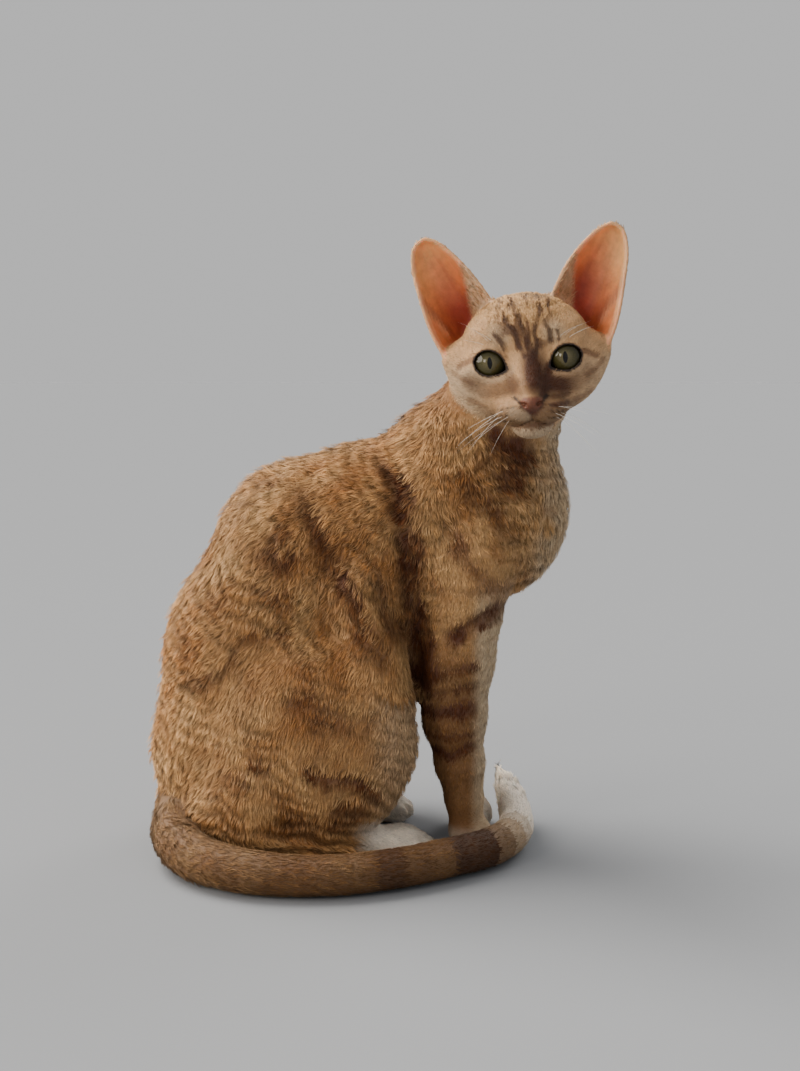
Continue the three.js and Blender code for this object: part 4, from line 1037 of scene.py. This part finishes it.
def paint(made, colours):
    layer = made.data.color_attributes.new("Markings", "FLOAT_COLOR", "POINT")
    rgba = np.ones((len(colours), 4), np.float32)
    rgba[:, :3] = colours
    layer.data.foreach_set("color", rgba.ravel())


skinPlace = bodyParts(skinPoints)
skinColours = markings(skinPoints, skinPlace)
report("skin marked")
skin = makeObject("cat_skin", skinPoints, skinQuads, [downySkin, noseLeather, earLining])
# the skin under the coat is painted a little darker, as shade between the tufts
paint(skin, skinColours * bright["skin"])
bareEar = (skinPlace["part"] == earPart) & (skinPlace["ear"][:, 1] < 0) & (furInEar(skinPlace) < 0.5)
onNose = noseMask(skinPlace) > 0.5
faceKind = np.where(onNose[skinQuads].mean(1) > 0.5, 1, np.where(bareEar[skinQuads].mean(1) > 0.5, 2, 0))
skin.data.polygons.foreach_set("material_index", faceKind.astype(np.int32))
fleshNodes = [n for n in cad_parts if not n.startswith("eye")]
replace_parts(skin, *fleshNodes)
report("skin made")


# Eyes: a ball each, with its iris, slit pupil and dark rim painted about the axis that looks at the viewer
eye = {  # radii, half heights and the cornea's bulge in millimetres
    "iris": 7.5, "pupilHalf": 1.2, "pupilTall": 3.0, "bulge": 0.7, "rings": 90, "spokes": 180,
    "inner": "5C5438", "middle": "433E22", "outer": "231F10", "edge": "120D08", "pupil": "040302",
}


def eyeball(name, side):
    centre = fromHead([side * eyeX, -cat["eyeForward"], 0])
    axis = unit(cameraAt - centre)
    right = unit(np.cross(axis, headTurn[:, 2]))
    up = np.cross(right, axis)
    turns = np.linspace(0, 2 * np.pi, eye["spokes"], endpoint=False)
    tilt = np.pi * np.linspace(0, 1, eye["rings"] + 1)[1:-1] ** 1.35
    radius = cat["eyeRadius"] - 0.25
    away = radius * np.sin(tilt)[:, None]
    swell = eye["bulge"] * ramp(away, eye["iris"], 0) * (tilt < 1.2)[:, None]
    sideways, height = away * np.cos(turns), away * np.sin(turns)
    depth = (radius * np.cos(tilt))[:, None] + swell
    points = centre + sideways[..., None] * right + height[..., None] * up + depth[..., None] * axis
    ends = [centre + axis * (radius + eye["bulge"]), centre - axis * radius]
    grid = np.arange(points.shape[0] * eye["spokes"]).reshape(points.shape[:2])
    nextSpoke = np.roll(grid, -1, axis=1)
    quads = np.stack([grid[:-1], grid[1:], nextSpoke[1:], nextSpoke[:-1]], axis=-1).reshape(-1, 4)
    caps = [(grid.size, grid[0, n], nextSpoke[0, n]) for n in range(eye["spokes"])]
    caps += [(grid.size + 1, nextSpoke[-1, n], grid[-1, n]) for n in range(eye["spokes"])]
    mesh = bpy.data.meshes.new(name)
    allPoints = np.vstack([points.reshape(-1, 3), ends])
    mesh.from_pydata(toRow(allPoints).tolist(), [], quads.tolist() + caps)
    mesh.polygons.foreach_set("use_smooth", np.ones(len(mesh.polygons), bool))
    eyeObject = bpy.data.objects.new(name, mesh)
    bpy.context.scene.collection.objects.link(eyeObject)

    # iris: fibres between a warm inner and a dark outer ring, under the shade of the upper lid, with a slit
    away = np.append(np.broadcast_to(away, sideways.shape).ravel(), [0, 0])
    sideways, height = np.append(sideways, [0, 0]), np.append(height, [0, 0])
    behind = np.append(np.broadcast_to((tilt > 1.57)[:, None], grid.shape).ravel(), [False, True])
    turn = np.append(np.broadcast_to(turns, grid.shape).ravel(), [0, 0])
    share = away / eye["iris"]
    fibres = noise(np.stack([np.cos(turn) * 30, np.sin(turn) * 30, share * 3], axis=1), 1.0, 31)
    colour = mixColours(linear(eye["inner"]), linear(eye["middle"]), ramp(share + fibres * 0.12, 0.25, 0.65))
    colour = mixColours(colour, linear(eye["outer"]), ramp(share + fibres * 0.08, 0.62, 0.92) * 0.85)
    colour = colour * (1 + 0.22 * fibres[:, None]) * (1 - 0.5 * ramp(height, 0.5, 6))[:, None]
    colour = mixColours(colour, linear(eye["edge"]), ramp(share, 0.9, 1.0))
    upPupil = height / eye["pupilTall"]
    pupilHalf = eye["pupilHalf"] * np.sqrt(np.clip(1 - upPupil ** 2, 0.02, 1))
    slit = np.hypot(sideways / pupilHalf, upPupil * 0.6)
    colour = mixColours(colour, linear(eye["pupil"]), ramp(slit, 1.12, 0.92) * (np.abs(upPupil) < 1))
    colour = np.where(behind[:, None], linear(eye["edge"]), colour)
    paint(eyeObject, colour)
    mesh.materials.append(wetEye)
    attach(eyeObject, "root")
    return eyeObject


def eyeMaterial():
    # a living cornea: wet and clear over a fibrous iris, so it has a sharp small highlight
    material = newMaterial("wet_cornea_over_iris")
    _, shade = markedColour(material, 0.5, 3.0, 0.15, 0.85, 1.12)
    shader = addNode(material, "ShaderNodeBsdfPrincipled",
                     {"Roughness": 0.5, "Specular IOR Level": 0.0,
                      "Coat Weight": 1.0, "Coat Roughness": 0.02, "Coat IOR": 1.38}, {"Base Color": shade})
    return finishMaterial(material, shader)


wetEye = eyeMaterial()
for side, name in ((1, "left"), (-1, "right")):
    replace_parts(eyeball("eyeball_" + name, side), "eye_" + name)
report("eyes made")


# Coat: tapered three-sided tufts, lying with the coat, drawn together into locks and waved
coat = {
    # for trunk, left and right foreleg, left and right hind leg, tail, head and ears:
    "long": (6.4, 3.6, 3.6, 5.6, 5.6, 5.2, 2.8, 2.0),
    "wide": (0.56, 0.42, 0.42, 0.54, 0.54, 0.52, 0.36, 0.32),
    "lift": (16, 11, 11, 14, 14, 9, 9, 9),  # degrees
    "density": (0.7, 0.72, 0.72, 0.66, 0.66, 0.64, 1.2, 0.85),  # tufts to each square millimetre
    "lock": (3.9, 2.6, 2.6, 3.6, 3.6, 3.4, 2.0, 1.8),  # spacing of the locks
    "pull": 0.55, "sway": 0.8, "ridge": 0.4, "spread": 0.5, "rootSink": 0.05, "floorGap": 0.12,
    # shares of the length that are taken off or added
    "shortFeet": 0.62, "shortFace": 0.35, "shortThroat": 0.5, "longCrown": 0.9, "longNape": 0.6,
    "earWallLong": 1.5, "earWallLift": 0.5,  # a share and a slope, for the fur inside the ears
    "wander": (20, 13), "lockTurn": 10, "tuftTurn": 6,  # degrees away from the lie
    "standing": 1.4,  # how far some locks of the back and rump stand out
    # the wave's crests are painted lighter and its hollows darker, as light and shade on the ripples
    "waveEvery": 7.0, "waveHeight": 1.9, "waveSlope": 1.3, "waveTone": 0.55,
    "lockTone": 0.16, "tuftTone": 0.08, "faceTone": 0.1, "warmth": 0.06,
    # painted shade at each tuft's root, between the tufts, and a painted highlight, lighter and paler,
    # toward its tip
    "rootShade": 0.48, "tipShade": 1.25, "tipPale": 0.26, "tipColour": "E2C49C",
    "mostTriangles": 190000,  # to a piece
}
# Which way the fur lies; on the ears in the head's frame
lieOf = {name: np.array(way, float) for name, way in {
    "back": (-0.92, 0, -0.35), "flank": (-0.55, 0, -0.84), "thigh": (-0.26, 0, -0.97),
    "breast": (0.06, 0, -1), "leg": (-0.1, 0, -1), "foot": (1, 0, -0.35),
    "ear": (0.42, 0.15, 0.9), "earWall": (0.75, -0.5, 0.45),
}.items()}
random = np.random.default_rng(7)


def vertexNormals(points, quads):
    faces = np.cross(points[quads[:, 2]] - points[quads[:, 0]], points[quads[:, 3]] - points[quads[:, 1]])
    return unit(np.stack([np.bincount(quads.ravel(), np.repeat(faces[:, n], 4), len(points))
                          for n in range(3)], axis=1))


def tuftRoots(points, quads, normals, density):
    # places spread over the skin at the density given for each of its points
    triangles = np.vstack([quads[:, [0, 1, 2]], quads[:, [0, 2, 3]]])
    a, b, c = (points[triangles[:, n]] for n in range(3))
    weight = np.linalg.norm(np.cross(b - a, c - a), axis=1) / 2 * density[triangles].mean(1)
    total = np.cumsum(weight)
    count = int(total[-1])
    picked = np.searchsorted(total, (np.arange(count) + random.random(count)) * total[-1] / count)
    picked = np.minimum(picked, len(triangles) - 1)
    u, v = random.random((2, count))
    over = u + v > 1
    u, v = np.where(over, 1 - u, u), np.where(over, 1 - v, v)
    mix = np.stack([1 - u - v, u, v], axis=1)[:, :, None]
    corners = triangles[picked]
    return (points[corners] * mix).sum(1), unit((normals[corners] * mix).sum(1))


def byPart(values, weights):
    return (np.asarray(values, float)[:, None] * weights).sum(0)


def trunkZones(points):
    # shares of the back, flank, thigh and breast, each with its own lie
    x, _, z = points.T
    breast = ramp(x, 22, 46)
    back = ramp(z, 160, 215) * (1 - breast)
    thigh = ramp(z, 125, 88) * ramp(x, -98, -72) * (1 - breast)
    return {"back": back, "flank": 1 - back - thigh - breast, "thigh": thigh, "breast": breast}


def waveAt(points):
    # the coat's wave, from -1 in its hollows to 1 on its crests, in broken rows across the lie
    shifted = 5.5 * noise(points, 23, 43) + 2.0 * noise(points, 8, 46)
    wave = sum(share * np.sin(2 * np.pi * (points @ lieOf[name] + shifted) / coat["waveEvery"])
               for name, share in trunkZones(points).items())
    return wave * (0.3 + 0.7 * ramp(noise(points, 17, 47), -0.5, 0.3))


def tailIndex(place):
    return np.clip((place["tailAt"] * (tailCount - 1)).astype(int), 0, tailCount - 1)


def coatLie(points, normals, place, weights):
    onHead = place["head"]
    trunk = sum(share[:, None] * lieOf[name] for name, share in trunkZones(points).items())
    leg = mixColours(lieOf["leg"], lieOf["foot"], ramp(points[:, 2], 30, 18))
    hind = mixColours(trunk, lieOf["foot"], ramp(points[:, 2], 26, 14))
    tail = unit(np.gradient(tailLine, axis=0)[tailIndex(place)])
    fromNose = onHead - np.array((0, 6 - nose, -20))
    fromNose[:, 2] += ramp(onHead[:, 2], -8, 12) * 8
    head = unit(fromNose) @ headTurn.T
    upEar = np.where(place["ear"][:, 1:2] < 0, lieOf["earWall"], lieOf["ear"])
    upEar = upEar * np.stack([np.sign(onHead[:, 0]), np.ones(len(points)), np.ones(len(points))], axis=1)
    ways = [trunk, leg, leg, hind, hind, tail, head, upEar @ headTurn.T]
    lie = sum(weights[n][:, None] * ways[n] for n in range(8))
    lie = lie - normals * (lie * normals).sum(1, keepdims=True)
    return unit(lie + 1e-6)


def unwrapped(points, place):
    # each part's own unwrap: round an upright axis, along the tail, round the head, or across the ear
    x, y, z = points.T
    part, onHead = place["part"], place["head"]
    u = np.arctan2(y, x + 20) / (2 * np.pi) + 0.5
    v = z / 300
    for index, (pawX, pawY) in enumerate(pawPlaces.values(), forelegParts[0]):
        ankle = 30 if index in hindlegParts else 10
        around = np.arctan2(y - pawY, x - pawX + ankle) / (2 * np.pi) + 0.5
        u, v = np.where(part == index, around, u), np.where(part == index, z / 200, v)
    at = place["tailAt"]
    centre = tailLine[tailIndex(place)]
    outward = np.hypot(x - centre[:, 0], y - centre[:, 1])
    outward = outward * np.sign(np.hypot(x, y) - np.hypot(*centre[:, :2].T))
    hx, hy, hz = onHead.T
    rise, across = place["ear"].T[2:]
    aroundTail = np.arctan2(z - centre[:, 2], outward) / (2 * np.pi) + 0.5
    aroundHead = np.arctan2(hx, -hy) / (2 * np.pi) + 0.5
    upHead = np.arctan2(hz, np.hypot(hx, hy)) / np.pi + 0.5
    for index, ownU, ownV in ((tailPart, aroundTail, at), (headPart, aroundHead, upHead),
                              (earPart, across * 0.45 + 0.5 * (hx > 0), rise * 0.9 + 0.05)):
        u = np.where(part == index, ownU, u)
        v = np.where(part == index, ownV, v)
    return np.stack([np.clip(u, 0.002, 0.998), np.clip(v, 0.002, 0.995)], axis=1)


def buildTufts(name, roots, normals, lie, size, colour, uv, shares):
    # shares says where each ring stands along a tuft, and the last is its tip. size is a dictionary of
    # arrays: long, wide, rise, bend, phase, sway, pull (a vector), rootShade (painted shade at the root)
    # and pale (painted highlight toward the tip) for each tuft, and wave (height), slope and ripple
    # (painted light and shade of the wave) for each of its rings
    count, rings = len(roots), len(shares) - 1
    across = np.cross(normals, lie)
    long, wide = size["long"][:, None], size["wide"][:, None]
    s = np.array(shares)[None, :]
    taper = np.interp(shares[:-1], (0, 0.25, 0.55, 1), (0.7, 1, 0.85, 0.2))[None]
    rise = long * size["rise"][:, None] * (s - 0.42 * s * s)
    rise = rise + size["wave"] * s ** 0.5 - coat["rootSink"] * long
    sway = size["sway"][:, None] * np.sin(2 * np.pi * s * 1.15 + size["phase"][:, None]) * s ** 0.8
    sway = sway + size["bend"][:, None] * s * s * long
    path = (roots[:, None] + lie[:, None] * (s * long)[..., None] + normals[:, None] * rise[..., None]
            + across[:, None] * sway[..., None] + size["pull"][:, None] * (s ** 1.6)[..., None])
    ring = path[:, :rings]
    half = (wide * taper / 2)[..., None]
    left, right = ring - across[:, None] * half, ring + across[:, None] * half
    top = ring + normals[:, None] * half * coat["ridge"]
    block = np.stack([left, right, top], axis=2).reshape(count, rings * 3, 3)
    block = np.concatenate([block, path[:, -1:]], axis=1)
    block[..., 2] = np.maximum(block[..., 2], coat["floorGap"])
    # shaded by the lie of the lock as a whole, so that fine tufts read as soft fur and not as facets
    along = unit(np.gradient(path, axis=1))
    facing = normals[:, None] - along * (along * normals[:, None]).sum(2, keepdims=True)
    facing = unit(facing) - lie[:, None] * size["slope"][..., None]
    beside = across[:, None] * coat["spread"]
    onRings = facing[:, :rings]
    ringFacing = np.stack([onRings - beside, onRings + beside, onRings * 1.2], axis=2)
    facing = unit(np.concatenate([ringFacing.reshape(count, rings * 3, 3), facing[:, -1:]], axis=1))
    faces = [(0, 1, 2)]
    for r in range(rings - 1):
        for a, b in ((0, 1), (1, 2), (2, 0)):
            low, high = r * 3, r * 3 + 3
            faces += [(low + b, low + a, high + a), (low + b, high + a, high + b)]
    last, tip = rings * 3 - 3, rings * 3
    faces += [(last + b, last + a, tip) for a, b in ((0, 1), (1, 2), (2, 0))]
    faces = np.array(faces)[:, ::-1]
    # painted shade at the root, where the tufts shade each other, and painted highlight toward the tip and
    # on the wave's crests
    rootShade = size["rootShade"][:, None]
    atTip = ramp(s, 0.35, 1) * size["pale"][:, None]
    shade = rootShade + (1 - rootShade) * ramp(s, -0.1, 0.6) + (coat["tipShade"] - 1) * atTip
    notDark = ramp(colour.mean(1), 0.01, 0.12)[:, None]  # dark stripes keep dark tips
    tinted = mixColours(colour[:, None], linear(coat["tipColour"]), atTip * coat["tipPale"] * notDark)
    tinted = tinted * (shade * (1 + size["ripple"]))[..., None]
    tinted = np.concatenate([np.repeat(tinted[:, :rings], 3, axis=1), tinted[:, -1:]], axis=1)
    slant = np.append(np.tile([-0.5, 0.5, 0], rings), 0)
    climb = np.append(np.repeat(np.array(shares)[:rings], 3), 1)
    patch = 0.0027  # how much of the map each tuft takes
    pieceSize = coat["mostTriangles"] // len(faces)
    pieces = -(-count // pieceSize)
    for n in range(pieces):
        part = slice(n * count // pieces, (n + 1) * count // pieces)
        points = block[part].reshape(-1, 3)
        many = block[part].shape[0]
        allFaces = (faces[None] + (np.arange(many) * (tip + 1))[:, None, None]).reshape(-1, 3)
        piece = makeObject(name if pieces == 1 else f"{name}_{n + 1}", points, allFaces, [shortFur])
        paint(piece, tinted[part].reshape(-1, 3))
        piece.data.normals_split_custom_set_from_vertices(facing[part].reshape(-1, 3).tolist())
        layer = piece.data.uv_layers.new(name="OFBake")
        spot = uv[part][:, None] + np.stack([slant, climb], axis=1)[None] * patch
        layer.data.foreach_set("uv", spot.reshape(-1, 2)[allFaces.ravel()].astype(np.float32).ravel())
    print("   ", name, count, "tufts")
    return count * len(faces)


shortFur = coatMaterial("rex_coat_short_wavy_cat_fur")
skinNormal = vertexNormals(skinPoints, skinQuads)


def partWeights(place, soft=4.0):
    gaps = place["gaps"]
    weights = np.exp(-(gaps - gaps.min(0)) / soft)
    weights[earPart] = place["part"] == earPart
    weights[:earPart] *= place["part"] != earPart
    weights[tailPart] = np.where(place["part"] == tailPart, 1, weights[tailPart] * 0.3)
    return weights / weights.sum(0)


def tuftDensity():
    # none on eyes, lips, nose leather, the ears' bare lining and the soles
    place = skinPlace
    density = byPart(coat["density"], partWeights(place))
    hx, hy, hz = place["head"].T
    onFace = (place["part"] == headPart) & (hy < 6)
    density = density * np.where(onFace & ((eyeOutline(hx, hz) < 1.7) | (mouthLine(hx, hz) < 0.3)), 0, 1)
    density = density * (noseMask(place) < 0.2) * np.where(bareEar, 0, 1)
    foot = ramp(skinPoints[:, 2], 40, 16) * np.isin(place["part"], forelegParts + hindlegParts)
    density = density * (1 + foot * 0.7)
    return density * np.where((skinPoints[:, 2] < 1.2) & (skinNormal[:, 2] < -0.6), 0, 1)


def findLocks(roots, spacing, density):
    # the lock that each tuft belongs to, as the index of the tuft at the lock's middle
    middles = np.nonzero(random.random(len(roots)) < 1.25 / (density * spacing ** 2))[0]
    tree = KDTree(len(middles))
    for n, index in enumerate(middles):
        tree.insert(roots[index], n)
    tree.balance()
    return middles[np.array([tree.find(Vector(p))[1] for p in roots])]


def lengthShare(roots, place, earWall):
    # shorter on feet, face and throat, longer on crown, nape and the tail's ends
    part, (hx, hy, hz), at = place["part"], place["head"].T, place["tailAt"]
    onHead = part == headPart
    onFoot = np.isin(part, forelegParts) + np.isin(part, hindlegParts) * ramp(roots[:, 0], -8, 8)
    share = 1 - coat["shortFeet"] * ramp(roots[:, 2], 44, 14) * onFoot
    alongTail = 1.15 - 0.5 * ramp(at, 0.15, 0.7) + 0.5 * ramp(at, 0.78, 0.92)
    share = share * np.where(part == tailPart, alongTail, 1)
    share = share * (1 - coat["shortFace"] * onHead * ramp(hy, 10, -12))
    share = share * (1 + coat["longCrown"] * (onHead * ramp(hz, 12, 26) * ramp(np.abs(hx), 26, 16)))
    share = share * (1 + coat["longNape"] * onHead * ramp(hy, 20, 46))
    throat = (part == trunkPart) * ramp(place["gaps"][headPart], 14, 4) * ramp(roots[:, 1], 0, -14)
    share = share * (1 - coat["shortThroat"] * throat)
    return np.where(earWall, coat["earWallLong"], share)


def growCoat():
    roots, normals = tuftRoots(skinPoints, skinQuads, skinNormal, tuftDensity())
    place = bodyParts(roots)
    keep = ~((place["part"] == earPart) & (place["ear"][:, 1] < 0) & (furInEar(place) < 0.5))
    roots, normals = roots[keep], normals[keep]
    place = {name: values[..., keep] if name == "gaps" else values[keep] for name, values in place.items()}
    weights = partWeights(place)
    count, part = len(roots), place["part"]
    earWall = (part == earPart) & (place["ear"][:, 1] < 0)
    shrink = lengthShare(roots, place, earWall)
    long = byPart(coat["long"], weights) * shrink * (0.72 + 0.56 * random.random(count))
    wide = byPart(coat["wide"], weights) * np.sqrt(shrink) * (0.8 + 0.4 * random.random(count))
    lie = coatLie(roots, normals, place, weights)
    spacing = byPart(coat["lock"], weights) * shrink
    # the coat is most broken on back, rump, neck and shoulder, and smooth on the front of the thigh
    x, z = roots[:, 0], roots[:, 2]
    shaggy = np.maximum(ramp(z, 140, 185) * ramp(x, 60, 30), ramp(x, -50, -88))
    loose = np.maximum(shaggy, np.maximum(ramp(x, 20, 40), ramp(z, 105, 150)))
    full = np.clip(long / 6.2, 0.2, 1)
    ruffled = full * np.where(part < headPart, 0.5 + 0.5 * loose, 1)
    waved = full * np.where(part < tailPart, 0.9 + 0.1 * loose, 0.75)
    lock = findLocks(roots, spacing, byPart(coat["density"], weights))

    own = random.normal(0, 1, (count, 3)).clip(-2, 2)
    broad, narrow = coat["wander"]
    turn = (noise(roots, 26, 41) * broad + noise(roots, 9, 42) * narrow
            + own[lock, 0] * coat["lockTurn"]) * ruffled + own[:, 1] * coat["tuftTurn"]
    turn = np.radians(turn)[:, None]
    lie = lie * np.cos(turn) + np.cross(normals, lie) * np.sin(turn)

    # the tips of a lock come together
    pull = roots[lock] + lie[lock] * long[lock][:, None] - (roots + lie * long[:, None])
    pull = pull - normals * (pull * normals).sum(1, keepdims=True)
    reach = np.linalg.norm(pull, axis=1, keepdims=True)
    pull = pull * np.minimum(1, spacing[:, None] * 0.6 / np.maximum(reach, 1e-6)) * coat["pull"]

    # some locks stand further out, most on the back and rump
    standing = ramp(own[lock, 1], 0.7, 1.5) * ruffled * (0.3 + coat["standing"] * shaggy)
    lift = np.tan(np.radians(byPart(coat["lift"], weights))) * (0.8 + standing + 0.15 * own[:, 0])
    lift = np.where(earWall, coat["earWallLift"], lift)

    shown = markings(roots, place)
    # how strongly light and shade are painted on the wave's crests and hollows
    rippled = coat["waveTone"] * (1 + 0.7 * ramp(z, 135, 100) * ramp(x, 34, 10) * (part != tailPart))
    ownTone = (coat["tuftTone"] + coat["faceTone"] * (part == headPart)) * own[:, 2]
    tone = 1 + coat["lockTone"] * own[lock, 2] * ruffled + ownTone
    warmth = coat["warmth"] * own[lock, 1] * ruffled
    shown = shown * tone[:, None] * np.stack([np.ones(count), 1 - warmth * 0.4, 1 - warmth], axis=1)
    uv = unwrapped(roots, place)
    total = 0
    shares = (0, 0.5, 1)
    ringAt = np.array(shares)[:, None]
    groups = {"trunk": trunkPart, "hindlegs": hindlegParts, "forelegs": forelegParts, "tail": tailPart,
              "head": headPart, "ears": earPart}
    for name, chosen in groups.items():
        at = np.nonzero(np.isin(part, chosen))[0]
        onPath = roots[at][:, None] + lie[at][:, None] * (ringAt * long[at][:, None, None])
        wave = waveAt(onPath.reshape(-1, 3)).reshape(len(at), -1)
        ahead = waveAt((onPath + lie[at][:, None] * 0.8).reshape(-1, 3)).reshape(len(at), -1)
        size = {
            "long": long[at], "wide": wide[at], "rise": lift[at], "bend": 0.05 * own[at, 0],
            "sway": coat["sway"] * ruffled[at] ** 1.5,
            "phase": 2 * np.pi * noise(roots[at], 11, 45) * 1.4 + own[lock[at], 2] * 0.7, "pull": pull[at],
            "wave": coat["waveHeight"] * (waved[at] ** 2)[:, None] * (0.5 + 0.5 * wave),
            "slope": coat["waveSlope"] * (waved[at] ** 2)[:, None] * (ahead - wave),
            # painted light on the wave's crests and painted shade in its hollows
            "ripple": np.maximum((0.4 * ramp(wave, 0, 0.8) - ramp(-wave, 0.1, 0.8))
                                 * (rippled * waved)[at][:, None], -0.5),
            "rootShade": 1 - (1 - coat["rootShade"]) * (0.3 + 0.7 * ruffled[at]),
            # paler tips on the wave's crests, a painted highlight
            "pale": waved[at] * (0.6 + 0.4 * wave[:, -1]),
        }
        total += buildTufts("coat_" + name, roots[at], normals[at], lie[at], size, shown[at], uv[at], shares)
    report(f"coat grown, {total} triangles")


growCoat()


# Whiskers, in the head's frame on the left, mirrored on the right: root (x, z), way, length, droop,
# which is below zero on the brow hairs, because they bend up and out
whiskers = [
    ((12, -23), (0.9, 0.0, -0.1), 22, 5), ((15, -23.6), (0.92, 0.3, -0.22), 30, 7),
    ((10, -26), (0.86, -0.1, -0.24), 23, 6), ((13, -26.4), (0.9, 0.2, -0.34), 33, 8),
    ((16.4, -26.4), (0.88, 0.4, -0.4), 31, 8), ((11, -29), (0.8, 0.0, -0.5), 22, 6),
    ((14, -29), (0.8, 0.3, -0.56), 28, 7), ((16, 9.5), (0.3, -0.4, 0.86), 13, -7),
    ((18.6, 10), (0.62, -0.3, 0.8), 17, -8), ((20.6, 9.5), (0.8, -0.2, 0.6), 12, -5),
]
whisker = {"wide": 0.13, "stray": 0.12, "shortest": 0.75, "longest": 1.1, "colour": "F6EEE2"}


def growWhiskers():
    points, ways, lengths, droops, normals = [], [], [], [], []
    onHead = skinPlace["head"]
    face = np.nonzero((skinPlace["part"] == headPart) & (onHead[:, 1] < 8))[0]
    for side in (1, -1):
        for (x, z), way, length, droop in whiskers:
            away = np.hypot(onHead[face, 0] - side * x, onHead[face, 2] - z)
            at = face[np.argmin(away + 0.1 * onHead[face, 1])]
            way = unit(np.array(way) * (side, 1, 1) + random.normal(0, whisker["stray"], 3)) @ headTurn.T
            points.append(skinPoints[at])
            normals.append(unit(skinNormal[at] - way * (way @ skinNormal[at])))
            ways.append(way)
            lengths.append(length * random.uniform(whisker["shortest"], whisker["longest"]))
            down = -abs(droop) * (1 if droop > 0 else 0.4)
            droops.append(headTurn @ np.array((side * max(-droop, 0), 0, down)))
    count = len(points)
    place = bodyParts(np.array(points))
    shares = (0, 0.18, 0.38, 0.58, 0.8, 1)
    size = {name: np.zeros(count) for name in ("rise", "bend", "sway", "phase", "pale")}
    size |= {name: np.zeros((count, 1)) for name in ("wave", "slope", "ripple")}
    size |= {"long": np.array(lengths), "wide": np.full(count, whisker["wide"]), "pull": np.array(droops),
             "rootShade": np.ones(count)}
    buildTufts("whiskers", np.array(points), np.array(normals), np.array(ways), size,
               np.tile(linear(whisker["colour"]), (count, 1)), unwrapped(np.array(points), place), shares)


growWhiskers()
report("whiskers grown")


# Camera, lights and floor
view = {"down": 8.3, "lens": 49.98, "sensor": 36}
camera = bpy.data.objects.new("camera", bpy.data.cameras.new("camera"))
camera.data.lens = view["lens"]
camera.data.sensor_width = view["sensor"]
camera.location = toRow(cameraAt)
camera.rotation_euler = (math.radians(90 - view["down"]), 0, 0)
bpy.context.scene.collection.objects.link(camera)
bpy.context.scene.camera = camera

# Wide soft suns, so that the floor is equally bright out to the horizon and meets the pale backdrop there
studio = [  # name, way that it shines, strength, width in degrees, colour
    ("window", (0.5, -0.35, -0.8), 5.0, 40, "FFF9F0"),
    ("windowRight", (-0.6, -0.75, -0.6), 1.08, 30, "FFFAF4"),
    ("side", (1.0, 0.16, -0.4), 2.3, 35, "FFF6EA"),
    ("fill", (-0.3, 0.9, -0.35), 0.12, 60, "EEF3FF"),
]
for lightName, way, strength, width, tint in studio:
    light = bpy.data.lights.new(lightName, "SUN")
    light.energy = strength
    light.angle = math.radians(width)
    light.color = linear(tint)
    lamp = bpy.data.objects.new(lightName, light)
    lamp.rotation_euler = Vector(way).to_track_quat("-Z", "Y").to_euler()
    bpy.context.scene.collection.objects.link(lamp)

# The key is a small window of light, which the corneas mirror: metres and watts
window = {"at": (-0.95, -0.95, 0.72), "way": (1.0, 0.92, -0.5), "wide": 0.3, "tall": 0.5, "power": 6.0}
key = bpy.data.lights.new("key", "AREA")
key.shape = "RECTANGLE"
key.size, key.size_y, key.energy = window["wide"], window["tall"], window["power"]
key.color = linear("FFF3E4")
keyLamp = bpy.data.objects.new("key", key)
keyLamp.location = window["at"]
keyLamp.rotation_euler = Vector(window["way"]).to_track_quat("-Z", "Y").to_euler()
bpy.context.scene.collection.objects.link(keyLamp)

# The floor's albedo is matched to the suns and the backdrop, so that both come out equally bright
backdrop = {"grey": 0.82, "strength": 0.72, "floor": (0.2547, 0.2657, 0.2823), "half": 6}
world = bpy.data.worlds.new("studio")
world.use_nodes = True
world.node_tree.nodes["Background"].inputs["Color"].default_value = (backdrop["grey"],) * 3 + (1,)
world.node_tree.nodes["Background"].inputs["Strength"].default_value = backdrop["strength"]
bpy.context.scene.world = world

floorMaterial = newMaterial("plain_pale_floor")
finishMaterial(floorMaterial, addNode(floorMaterial, "ShaderNodeBsdfPrincipled",
                                      {"Base Color": (*backdrop["floor"], 1), "Roughness": 0.85,
                                       "Specular IOR Level": 0.0}))
half = backdrop["half"]
floor = bpy.data.objects.new("floor", bpy.data.meshes.new("floor"))
floor.data.from_pydata([(-half, -half, 0), (half, -half, 0), (half, half, 0), (-half, half, 0)],
                       [], [(0, 1, 2, 3)])
floor.data.materials.append(floorMaterial)
bpy.context.scene.collection.objects.link(floor)

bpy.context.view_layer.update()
report("scene made")
